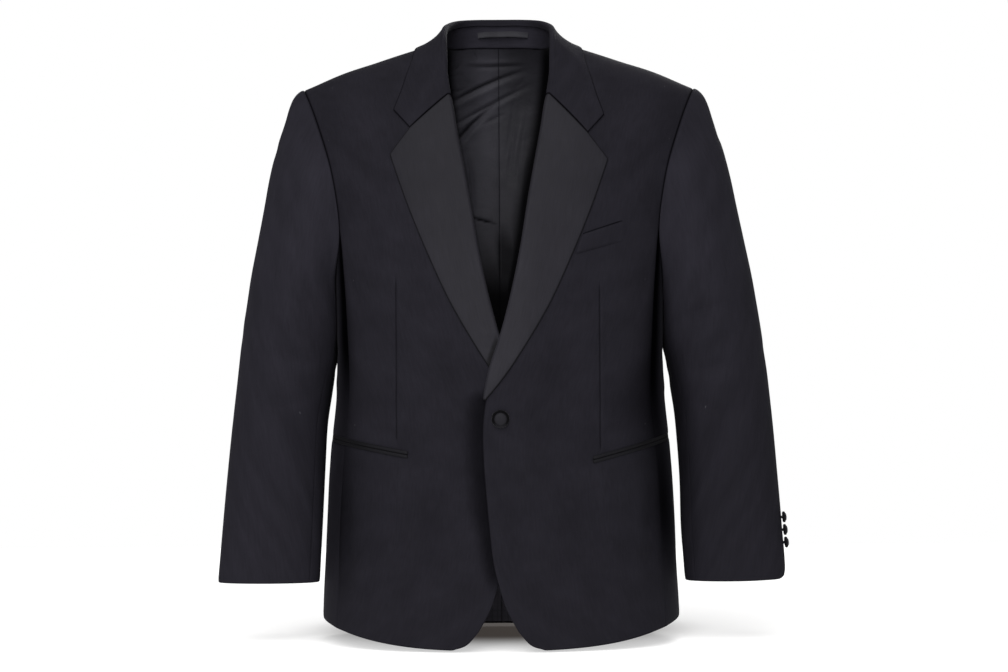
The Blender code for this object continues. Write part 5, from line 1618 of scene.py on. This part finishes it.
def turned_edge(edge, along, out, base, stand_off, turn_in):
    """The visible face of cloth turned round the edge of a wall: in along its inner face, then round.

    The arc's centre is in the middle of the wall's thickness, so the cloth clears both faces alike.
    """
    radius = base / 2 + stand_off
    centre = edge - out * base / 2
    rows = []
    for share in (1.0, 0.75, 0.5, 0.25):
        rows.append(centre - out * radius + along * turn_in * share)
    for angle in np.linspace(-math.pi / 2, math.pi / 2, ARC_STEPS + 1):
        rows.append(centre + out * radius * math.sin(angle) - along * radius * math.cos(angle))
    return rows


def feature_drop(side):
    """The wearer's left front sits a little lower than the right."""
    return LEFT_DROP * SIDES[side]


def bent_row(start, corner, end, shares, corner_share):
    """Shares along a row that bends at a corner, less the straight row: what bends the row."""
    first = np.minimum(shares / corner_share, 1)[:, None]
    second = np.maximum((shares - corner_share) / (1 - corner_share), 0)[:, None]
    straight = start + (end - start) * shares[:, None]
    return start + (corner - start) * first + (end - corner) * second - straight


def roll_line(z, side):
    """Points of the roll line, which is the front's own inner edge."""
    return front_points(line_by_height(FRONT_EDGE, z), z, side)


def roll_frame(z, side):
    """The roll line with, at each height, the directions out of the front and across it."""
    step = 1 * MM
    climb = unit(roll_line(z + step, side) - roll_line(z - step, side))
    out = form_normals(line_by_height(FRONT_EDGE, z), z, side)
    out = unit(out - climb * dot(out, climb))
    return roll_line(z, side), out, np.cross(climb, out)


def lapel_shares(width, corner):
    """Shares out from the roll: crowded at the outer edge, with one at the notch's corner."""
    first = np.linspace(0, corner, int(width * corner / STEP) + 1)[1:]
    second = corner + spaced(width * (1 - corner), STEP, (False, True)) * (1 - corner)
    return np.concatenate(((0.012, 0.03), first[first > 0.035], second[1:]))


def lapel_surface(side):
    """One lapel: rows climb the roll line, and each runs round the roll and out over the front."""
    climb = spaced(ROLL_LENGTH, STEP)
    roll_z = BREAK_Z + (GORGE_Z - BREAK_Z) * climb
    roll = stacked(line_by_height(FRONT_EDGE, roll_z), roll_z)
    edge, out, along = roll_frame(roll_z, side)
    outline = metres(LAPEL_EDGE)
    length = run_length(outline)
    outer = curve_through(length / length[-1], outline, climb)
    outer[:, 1] -= feature_drop(side) * climb
    notch = metres(NOTCH) - (0, feature_drop(side))
    shares = lapel_shares(LAPEL_WIDTH, NOTCH_SHARE)
    bend = bent_row(roll[-1], notch, outer[-1], shares, NOTCH_SHARE)
    plane = roll[:, None] + (outer - roll)[:, None] * shares[None, :, None]
    plane += bend[None] * climb[:, None, None] ** 8
    panel = front_points(plane[..., 0], plane[..., 1], side)
    normals = form_normals(plane[..., 0], plane[..., 1], side)
    wall = cloth_sizes().wall
    stand_off = SEAT_GAP + wall
    bulge = LAPEL_BULGE * np.sin(math.pi * shares)[None, :, None] * climb[:, None, None]
    lying = panel + normals * (stand_off + bulge)
    turn_in = (TURN_IN[0] + (TURN_IN[1] - TURN_IN[0]) * climb)[:, None]
    base = (wall + ROLL_EASE * climb)[:, None]
    turned = turned_edge(edge, along, out, base, stand_off, turn_in)
    return np.concatenate((np.stack(turned, axis=1), lying), axis=1), shares


def sheet_normals(grid):
    """Normals of a turned-over sheet, outward on the part that lies on the panel."""
    normals = crossed_steps(grid)
    lying = normals[:, -1] * (grid[:, -1] - torso_axis(grid[:, -1]))
    return normals if lying.sum() > 0 else -normals


def build_lapel(side):
    """A lapel's satin, creased near the break, with painted light, and on the right lapel a painted shadow
    beside the edge of the other lapel that lies on it.
    """
    grid, shares = lapel_surface(side)
    normals = sheet_normals(grid)
    flat = np.zeros(grid.shape[:2])
    lying = grid[:, -len(shares):]
    x, z = lying[..., 0] / MM, lying[..., 2] / MM
    flat[:, -len(shares):] = creases(x, z, LAPEL_CREASES[side])
    # Painted light: lighter low down, and on the wearer's left lapel.
    painted_light = share_by_height(SATIN_PAINTED_LIGHT, grid[..., 2]) + SATIN_PAINTED_LIGHT_SIDE[side]
    darkening_and_shade = np.zeros(grid.shape[:2])
    if side == "right":
        # Painted shadow beside the edge of the other lapel, which lies over this one.
        beside = lying[..., 0] + line_by_height(FRONT_EDGE, lying[..., 2])
        darkening_and_shade[:, -len(shares):] = 0.9 * smooth(2.6 - beside / (4.5 * MM)) * fall(z, -360, 26)
    make_shell("lapel_cloth_" + side, "lapel_" + side, grid, normals, ("free", "free", "plain", "free"), flat,
               finish="satin", side=side, painted_light=painted_light, darkening_and_shade=darkening_and_shade)


def both_sides(left, right):
    """One row of points from the wearer's right gorge, round the back of the neck, to the left gorge."""
    return np.concatenate((right[:0:-1] * np.array((-1, 1, 1)), left))


def collar_lines(places):
    """Neck seam, fold and outer edge of the collar, from the right gorge round the back to the left gorge."""
    table = metres(COLLAR)
    knots = np.linspace(0, 1, len(table))
    columns = {name: curve_through(knots, table[:, i], places) for i, name in enumerate(COLLAR_COLUMNS)}
    behind = knots < RIDGE_PLACE
    neck_y = np.where(behind, back_y(table[:, 0], table[:, 1]), front_y(table[:, 0], table[:, 1]))
    neck = stacked(columns["neck_x"], curve_through(knots, neck_y, places), columns["neck_z"])
    neck = onto_form(neck)
    fold = stacked(columns["fold_x"], columns["fold_y"], columns["fold_z"])
    edges = []
    for side in SIDES:
        lowered = columns["edge_z"] - feature_drop(side) * places ** 4
        edge = stacked(columns["edge_x"], columns["edge_y"], lowered)
        edges.append(onto_form(edge))
    return both_sides(neck, neck), both_sides(fold, fold), both_sides(*edges)


def collar_frames(neck, fold, edge, places):
    """Directions at each place of the fold: across it, down the stand or over the front, and outwards."""
    turning = rise(places, TURN_PLACE, 1 - TURN_PLACE)[:, None]
    tangent = unit(np.gradient(fold, axis=0))
    ends = []
    for side in SIDES:
        _, out, along = roll_frame(np.array([GORGE_Z]), side)
        ends.append((out[0] * (SIDES[side], 1, 1), along[0] * (SIDES[side], 1, 1)))
    tangent[-1] = np.cross(ends[0][0], ends[0][1])
    tangent[0] = np.cross(ends[1][0], ends[1][1])
    down = unit(neck - fold)
    out = unit(np.cross(down, tangent))
    outwards = (fold - (0, CENTRE_Y, 0)) * (1, 1, 0)
    out = np.where(dot(out, outwards) < 0, -out, out)
    for end, (gorge_out, _) in zip((-1, 0), ends):
        nearer = slice(len(places) // 2, None) if end else slice(0, len(places) // 2)
        out[nearer] = between(out[nearer], gorge_out, turning[nearer])
    out = unit(out - tangent * dot(out, tangent))
    along = np.cross(tangent, out)
    return np.where(dot(along, edge - fold) < 0, -along, along), out


def notch_point(side):
    """The inner corner of the notch, where lapel and collar meet, lifted as far as both lie off the front."""
    x = np.array(NOTCH[0] * MM)
    z = NOTCH[1] * MM - feature_drop(side)
    lift = SEAT_GAP + cloth_sizes().wall
    return front_points(x, z, side) + form_normals(x, z, side) * lift


def collar_places():
    """Places from the centre back round to the gorge, crowded at the gorge, where its edge is."""
    return spaced(COLLAR_HALF, COLLAR_STEP, (False, True))


def build_collar_leaf():
    """The collar's fall: each row turns over the fold and runs out to the collar's edge."""
    wall = cloth_sizes().wall
    half = collar_places()
    neck, fold, edge = collar_lines(half)
    places = np.concatenate((half[:0:-1], half))
    along, out = collar_frames(neck, fold, edge, places)
    stand_off = SEAT_GAP + wall + 0.3 * MM
    turn_in = (COLLAR_TURN_IN[0] + (COLLAR_TURN_IN[1] - COLLAR_TURN_IN[0]) * places)[:, None]
    base = (wall + ROLL_EASE * places ** 2)[:, None]
    turned = np.stack(turned_edge(fold, along, out, base, stand_off, turn_in), axis=1)
    top = turned[:, -1]
    low = edge + normals_on_form(edge) * stand_off
    shares = lapel_shares(COLLAR_WIDTH, COLLAR_NOTCH_SHARE)
    lying = top[:, None] + (low - top)[:, None] * shares[None, :, None]
    for end, side in ((-1, "left"), (0, "right")):
        notch = notch_point(side) * np.array((SIDES[side], 1, 1))
        bend = bent_row(top[end], notch, low[end], shares, COLLAR_NOTCH_SHARE)
        nearness = places * (np.arange(len(places)) >= len(places) // 2 if end else
                             np.arange(len(places)) <= len(places) // 2)
        lying += bend[None] * (nearness ** COLLAR_BEND)[:, None, None]
    lying = clear_of_form(lying, stand_off)
    swell = COLLAR_SWELL * np.sin(math.pi * shares) ** 1.2
    grid = np.concatenate((turned, lying), axis=1)
    normals = sheet_normals(grid)
    normals[:, -2:] = normals_on_form(onto_form(grid[:, -2:]))
    relief = np.zeros(grid.shape[:2])
    sag = COLLAR_SAG * bell(places[:, None] - COLLAR_SAG_PLACE, COLLAR_SAG_WIDTH)
    relief[:, -len(shares):] = swell * (1 - places[:, None] ** 6) - sag * np.sin(math.pi * shares)
    make_shell("collar_cloth", "collar_leaf", grid, normals, ("free", "free", "plain", "free"), relief,
               press=(0.7, 0.7, 1, 0.65))


def build_collar_stand():
    """The collar's stand, from the neck seam up to the fold, closed as far as the gorge."""
    half = collar_places()
    half = half[half <= STAND_END]
    neck, fold, edge = collar_lines(half)
    places = np.concatenate((half[:0:-1], half))
    _, out = collar_frames(neck, fold, edge, places)
    front = rise(places, 0.36, 0.2)[:, None]
    base = neck + unit(fold - neck) * (STAND_LOWER[0] + (STAND_LOWER[1] - STAND_LOWER[0]) * front)
    climb = np.linspace(0, 1, STAND_ROWS)[None, :, None]
    grid = between(base[:, None], fold[:, None], climb)
    normals = np.repeat(out[:, None], grid.shape[1], axis=1)
    relief = -STAND_BOW * np.sin(math.pi * climb[..., 0]) * (1 - places[:, None] ** 4)
    edges = ("plain", "plain", "free", "plain")
    make_shell("collar_stand_cloth", "collar_stand", grid, normals, edges, relief)
    build_hanger_loop(grid, normals)


def build_hanger_loop(stand, normals):
    """A narrow strip along the inside of the stand, sewn at its ends and bowed off it between them."""
    wall = cloth_sizes().wall
    middle = stand[:, stand.shape[1] // 2]
    share = np.linspace(-1, 1, LOOP_STATIONS)
    x = LOOP_CENTRE_X + share * LOOP_HALF_LENGTH
    stations = np.arange(len(middle))
    place = np.interp(x, middle[:, 0], stations)

    def at(values):
        return np.stack([np.interp(place, stations, values[:, i]) for i in range(3)], axis=-1)

    low, high, out = at(stand[:, 0]), at(stand[:, -1]), unit(at(normals[:, STAND_ROWS // 2]))
    bow = LOOP_BOW * (1 - share ** 4) + 0.4 * MM * np.sin(share * 7) * (1 - share ** 2)
    rows = []
    for up in np.linspace(0, 1, LOOP_ROWS):
        z = LOOP_BOTTOM_Z + (LOOP_TOP_Z - LOOP_BOTTOM_Z) * up + 1.2 * MM * (1 - share ** 2)
        climb = ((z - low[:, 2]) / (high[:, 2] - low[:, 2]))[:, None]
        rows.append(between(low, high, climb) - out * (wall + SEAT_GAP + bow)[:, None])
    grid = np.stack(rows, axis=1)
    normal = np.repeat(out[:, None], grid.shape[1], axis=1)
    make_shell("hanger_loop_cloth", "hanger_loop", grid, normal, ("free",) * 4, 0, LOOP_THICKNESS, "lining",
               press=(0.2, 0.2, 0.3, 0.3), painted_light=0.0)


# Pockets, welt and buttons

def build_jet(side, name, low, high):
    """One jet of a hip pocket: a narrow strip along the opening, rounded from one long edge to the other."""
    inner, outer = pocket_line(side)
    width = half_width(inner[1])
    share = inner[0] / width + (POCKET_OUTER_SHARE - inner[0] / width) * spaced(POCKET_LENGTH, PIPING_STEP)
    turn = -turn_of_share(share)
    climb = (share - share[0]) / (share[-1] - share[0])
    z = inner[1] + (outer[1] - inner[1]) * climb
    up = np.linspace(0, 1, JET_ROWS)[:, None]
    grid = ring_points(np.broadcast_to(turn, (JET_ROWS, len(turn))), z[None, :] + low + (high - low) * up)
    normals = ring_normals(grid)
    lift = JET_ROUND * np.sqrt(np.clip(1 - (2 * up - 1) ** 2, 0, 1)) + JET_LIFT
    grid = grid + normals * lift[..., None]
    # The jets are darkened overall, with painted shade along their long edges and towards their outer end.
    darkening_and_shade = 0.66 + 0.34 * np.abs(2 * up - 1) ** 4 + 0.45 * rise(climb, 0.3, 0.6)
    make_shell(f"jet_{name}_{side}", f"pocket_jet_{name}_{side}", grid, normals,
               ("plain", "plain", "free", "free"), 0, JET_THICKNESS, "satin", side=side, painted_light=0, darkening_and_shade=darkening_and_shade)


def build_welt_piece():
    """The breast welt: a slanted strip that stands a little off the front along its top and outer edges."""
    low, high = metres(WELT_BOTTOM), metres(WELT_TOP)
    along = spaced(WELT_LENGTH, 2 * MM)[None, :, None]
    up = spaced(WELT_HEIGHT, PIPING_STEP)[:, None, None]
    bottom = between(low[0], low[1], along)
    top = between(high[0], high[1], along)
    plane = between(bottom, top, up)
    x, z = plane[..., 0], plane[..., 1]
    normals = form_normals(x, z, "left")
    lift = WELT_LIFT + WELT_EDGE_LIFT * smooth(up[..., 0] * 6) + WELT_TOP_LIFT * up[..., 0]
    lift = lift - (lift - WELT_END_LIFT) * rise(along[..., 0], 0.6, 0.4)
    grid = front_points(x, z, "left") + normals * lift[..., None]
    relief = body_relief(grid, FRONT_CREASES["left"], 1)
    make_shell("breast_welt_cloth", "breast_welt", grid, normals, ("free",) * 4, relief, WELT_THICKNESS,
               press=(0.62, 0.8, 0, 0.2))


def build_button(name, node, seat, axis, size, side, shank=0.0):
    """A covered button: its profile turned round its axis, with small tucks in the cover round its edge.

    One with a shank stands off the cloth by it.
    """
    radius, height = size
    flip = np.array((SIDES[side], 1, 1))
    axis = axis * flip
    seat = seat * flip + axis * (BUTTON_GAP + shank)
    across = unit(np.cross(axis, (0, 0, 1)))
    up = np.cross(across, axis)
    angle = np.linspace(0, 2 * math.pi, BUTTON_SIDES, endpoint=False)
    round_ = across * np.cos(angle)[:, None] + up * np.sin(angle)[:, None]
    profile = BUTTON_PROFILE
    if shank:
        stem = -shank / height
        profile = ((0.0, stem), (STEM_RADIUS[0], stem), (STEM_RADIUS[1], 0.0), *profile[1:])
    profile = np.array(profile)
    tuck = 1 + TUCK * np.sin(11 * angle + 2 * np.sin(3 * angle))
    share = profile[:, 0][:, None] * np.where(profile[:, 1][:, None] < 0.6, tuck[None, :], 1)
    points = (seat + round_[None] * (radius * share)[..., None]
              + axis * (height * profile[:, 1])[:, None, None])
    rings = points[1:-1]
    rows = rings.reshape(-1, 3)
    points = np.concatenate((rows, points[:1, 0], points[-1:, 0]))
    index = np.arange(len(rows)).reshape(len(rings), BUTTON_SIDES)
    after = np.roll(index, -1, axis=1)
    walls = stacked(index[:-1], after[:-1], after[1:], index[1:]).reshape(-1, 4)
    base, top = len(rows), len(rows) + 1
    caps = np.concatenate((
        stacked(after[0], index[0], np.full(BUTTON_SIDES, base)),
        stacked(index[-1], after[-1], np.full(BUTTON_SIDES, top))))
    mesh = bpy.data.meshes.new(name)
    mesh.from_pydata(points.tolist(), [], walls.tolist() + caps.tolist())
    mesh.update()
    first = mesh.polygons[0]
    if np.array(first.normal) @ (np.array(first.center) - points.mean(axis=0)) < 0:
        mesh.flip_normals()
    flat = stacked((points - seat) @ across, (points - seat) @ up)
    # Painted shade: a dark ring round the dome, fainter at the bottom of a button without a shank.
    ring = rise(np.linalg.norm(flat, axis=1) / radius, 0.58, 0.16)
    if not shank:
        ring *= 0.3 + 0.7 * rise(flat[:, 1] / radius, -0.95, 0.7)
    chart_and_dress(mesh, flat, {"worn_and_shaded": ring}, ["button cloth"])
    settle(place_object(name, mesh), node)


# Operators


class JACKET_OT_fronts(bpy.types.Operator):
    """Build both fronts, with their darts"""
    bl_idname = "jacket.fronts"
    bl_label = "Fronts"

    def execute(self, context):
        for side in SIDES:
            build_front(side)
        return {"FINISHED"}


class JACKET_OT_sides(bpy.types.Operator):
    """Build the two underarm panels"""
    bl_idname = "jacket.sides"
    bl_label = "Underarm panels"

    def execute(self, context):
        for side in SIDES:
            build_side(side)
        return {"FINISHED"}


class JACKET_OT_back(bpy.types.Operator):
    """Build the two halves of the back"""
    bl_idname = "jacket.back"
    bl_label = "Back"

    def execute(self, context):
        for side in SIDES:
            build_back(side)
        return {"FINISHED"}


class JACKET_OT_lining(bpy.types.Operator):
    """Build the back's lining"""
    bl_idname = "jacket.lining"
    bl_label = "Back lining"

    def execute(self, context):
        for side in SIDES:
            build_lining(side)
        return {"FINISHED"}


class JACKET_OT_sleeves(bpy.types.Operator):
    """Build the top and under pieces of both sleeves"""
    bl_idname = "jacket.sleeves"
    bl_label = "Sleeves"

    def execute(self, context):
        for side in SIDES:
            build_sleeve(side, "top", HINDARM_PLACE - ARMHOLE_END, FOREARM_PLACE)
            build_sleeve(side, "under", FOREARM_PLACE, HINDARM_PLACE)
        return {"FINISHED"}


class JACKET_OT_lapels(bpy.types.Operator):
    """Build the satin lapels"""
    bl_idname = "jacket.lapels"
    bl_label = "Lapels"

    def execute(self, context):
        for side in SIDES:
            build_lapel(side)
        return {"FINISHED"}


class JACKET_OT_collar(bpy.types.Operator):
    """Build the collar, its stand and the hanger loop"""
    bl_idname = "jacket.collar"
    bl_label = "Collar"

    def execute(self, context):
        build_collar_leaf()
        build_collar_stand()
        return {"FINISHED"}


class JACKET_OT_pockets(bpy.types.Operator):
    """Build the jets of both hip pockets and the breast welt"""
    bl_idname = "jacket.pockets"
    bl_label = "Pockets"

    def execute(self, context):
        for side in SIDES:
            build_jet(side, "upper", JET_SLIT, JET_HEIGHT)
            build_jet(side, "lower", -JET_HEIGHT, -JET_SLIT)
        build_welt_piece()
        return {"FINISHED"}


class JACKET_OT_buttons(bpy.types.Operator):
    """Build the covered buttons of the front and the cuffs"""
    bl_idname = "jacket.buttons"
    bl_label = "Buttons"

    def execute(self, context):
        x, z = (np.array(value) for value in FRONT_BUTTON)
        build_button("front_button_cover", "front_button", front_points(x, z, "left"),
                     form_normals(x, z, "left"), FRONT_BUTTON_SIZE, "left")
        step = 1 * MM
        for side in SIDES:
            turn = np.array(math.radians(CUFF_BUTTON_TURN[side]))
            for number in range(CUFF_BUTTONS):
                z = np.array(CUFF_BUTTON_FIRST_Z - number * CUFF_BUTTON_PITCH)
                seat = sleeve_points(turn, z, side)
                round_ = sleeve_points(turn + 0.01, z, side) - sleeve_points(turn - 0.01, z, side)
                down = sleeve_points(turn, z - step, side) - sleeve_points(turn, z + step, side)
                axis = unit(np.cross(round_, down))
                axis = axis if axis[0] > 0 else -axis
                build_button(f"cuff_button_cover_{side}_{number + 1}", f"cuff_button_{side}_{number + 1}",
                             seat, axis, CUFF_BUTTON_SIZE, side, CUFF_SHANK[side])
        return {"FINISHED"}


class JACKET_OT_cuts(bpy.types.Operator):
    """Gather, for each side, the names of the pieces sewn on it, and do nothing more with them"""
    bl_idname = "jacket.cuts"
    bl_label = "Cuts"

    def execute(self, context):
        for side in SIDES:
            sewn_on = [f"jet_upper_{side}", f"jet_lower_{side}"]
            if side == "left":
                sewn_on.append("front_button_cover")
            sewn_on = [f"cuff_button_cover_{side}_{number + 1}" for number in range(CUFF_BUTTONS)]
        return {"FINISHED"}


class JACKET_OT_stage(bpy.types.Operator):
    """Set the light floor with its painted shadow, the white surround, the lights and the camera"""
    bl_idname = "jacket.stage"
    bl_label = "Stage"

    def execute(self, context):
        stage = context.scene.jacket_stage
        context.scene.view_settings.view_transform = "Standard"
        context.scene.world = self.make_surround(stage)
        self.add_floor(stage)
        self.add_overhead(stage)
        self.add_lamp("front_lamp", *FRONT_LAMP, stage.front)
        self.add_lamp("back_lamp", *BACK_LAMP, stage.behind)
        self.add_camera(context, stage)
        return {"FINISHED"}

    def make_surround(self, stage):
        """White where it is seen, and dimmer as a light, so that shadows gather under the jacket."""
        world = bpy.data.worlds.new("white_surround")
        world.use_nodes = True
        tree = world.node_tree
        seen = tree.nodes["Background"]
        seen.inputs["Color"].default_value = (1, 1, 1, 1)
        light = add_node(tree, "Background", {"Color": (1, 1, 1, 1), "Strength": stage.sky})
        path = add_node(tree, "LightPath").outputs["Is Camera Ray"]
        choose = add_node(tree, "MixShader", {0: path, 1: light.outputs[0], 2: seen.outputs[0]})
        tree.links.new(choose.outputs[0], tree.nodes["World Output"].inputs["Surface"])
        return world

    def add_overhead(self, stage):
        """A broad light from above and a little from the front."""
        data = bpy.data.lights.new("overhead", "SUN")
        data.energy = stage.overhead
        data.angle = OVERHEAD_SPREAD
        place_object("overhead", data).rotation_euler = OVERHEAD_TILT

    def add_floor(self, stage):
        """A flat square under the jacket."""
        half = stage.floor_size / 2
        mesh = bpy.data.meshes.new("floor")
        corners = [(x * half, y * half, stage.floor_z) for x, y in ((-1, -1), (1, -1), (1, 1), (-1, 1))]
        mesh.from_pydata(corners, [], [(0, 1, 2, 3)])
        mesh.materials.append(self.make_light_table(stage))
        place_object("floor", mesh)

    def make_light_table(self, stage):
        """A light floor that glows, but for a painted shadow: a dark soft oval round the place where the
        jacket stands.
        """
        material, tree, shader = new_material("pale_floor")
        shader.inputs["Roughness"].default_value = 0.9
        shader.inputs["Specular IOR Level"].default_value = 0.2
        shader.inputs["Emission Strength"].default_value = stage.glow
        place = {"Vector": add_node(tree, "TexCoord").outputs["Object"], "Location": SHADOW_OVAL_PLACE,
                 "Scale": SHADOW_OVAL_SCALE}
        place = add_node(tree, "Mapping", place).outputs["Vector"]
        reach = add_node(tree, "VectorMath", {0: place}, operation="LENGTH").outputs["Value"]
        painted_light = add_node(tree, "MapRange", {"Value": reach, "From Min": SHADOW_OVAL_CORE, "From Max": 1.0},
                        interpolation_type="SMOOTHSTEP").outputs["Result"]
        for socket, (dark, light) in (("Emission Color", FLOOR_GLOW), ("Base Color", FLOOR_COLOUR)):
            tree.links.new(blend(tree, "MIX", painted_light, solid(dark), solid(light)), shader.inputs[socket])
        return material

    def add_lamp(self, name, place, size, power):
        """A round lamp that faces the jacket's middle."""
        data = bpy.data.lights.new(name, "AREA")
        data.shape = "DISK"
        data.size = size
        data.energy = power
        lamp = place_object(name, data)
        lamp.location = place
        aim = np.array(LAMP_AIM) - np.array(place)
        lamp.rotation_euler = (math.atan2(math.hypot(aim[0], aim[1]), -aim[2]), 0,
                               math.atan2(aim[1], aim[0]) - math.pi / 2)

    def add_camera(self, context, stage):
        """The camera stands straight in front."""
        data = bpy.data.cameras.new("camera")
        data.lens = stage.lens
        data.sensor_width = 36
        camera = place_object("camera", data)
        camera.location = (stage.camera_x, -stage.distance, stage.camera_z)
        camera.rotation_euler = (math.pi / 2, stage.roll, 0)
        context.scene.camera = camera


class JACKET_PT_sidebar(bpy.types.Panel):
    """The jacket's sizes, colours and pieces"""
    bl_label = "Dinner jacket"
    bl_idname = "JACKET_PT_sidebar"
    bl_space_type = "VIEW_3D"
    bl_region_type = "UI"
    bl_category = "Jacket"

    def draw(self, context):
        for group in (context.scene.jacket_cloth, context.scene.jacket_colours, context.scene.jacket_stage):
            box = self.layout.box()
            for name in type(group).__annotations__:
                box.prop(group, name)
        for operator in OPERATORS:
            self.layout.operator(operator.bl_idname)


GROUPS = {"jacket_cloth": JacketCloth, "jacket_colours": JacketColours, "jacket_stage": JacketStage}
OPERATORS = (JACKET_OT_stage, JACKET_OT_fronts, JACKET_OT_sides, JACKET_OT_back, JACKET_OT_lining,
             JACKET_OT_sleeves, JACKET_OT_lapels, JACKET_OT_collar, JACKET_OT_pockets, JACKET_OT_buttons,
             JACKET_OT_cuts)


def register():
    """Makes the settings, the operators and the panel known to Blender."""
    for name, group in GROUPS.items():
        bpy.utils.register_class(group)
        setattr(bpy.types.Scene, name, bpy.props.PointerProperty(type=group))
    for operator in OPERATORS:
        bpy.utils.register_class(operator)
    bpy.utils.register_class(JACKET_PT_sidebar)


def unregister():
    """Takes the panel, the operators and the settings away again."""
    bpy.utils.unregister_class(JACKET_PT_sidebar)
    for operator in reversed(OPERATORS):
        bpy.utils.unregister_class(operator)
    for name, group in GROUPS.items():
        delattr(bpy.types.Scene, name)
        bpy.utils.unregister_class(group)


def main():
    """Registers everything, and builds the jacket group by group."""
    register()
    for operator in OPERATORS:
        family, name = operator.bl_idname.split(".")
        getattr(getattr(bpy.ops, family), name)()


if __name__ == "__main__":
    main()
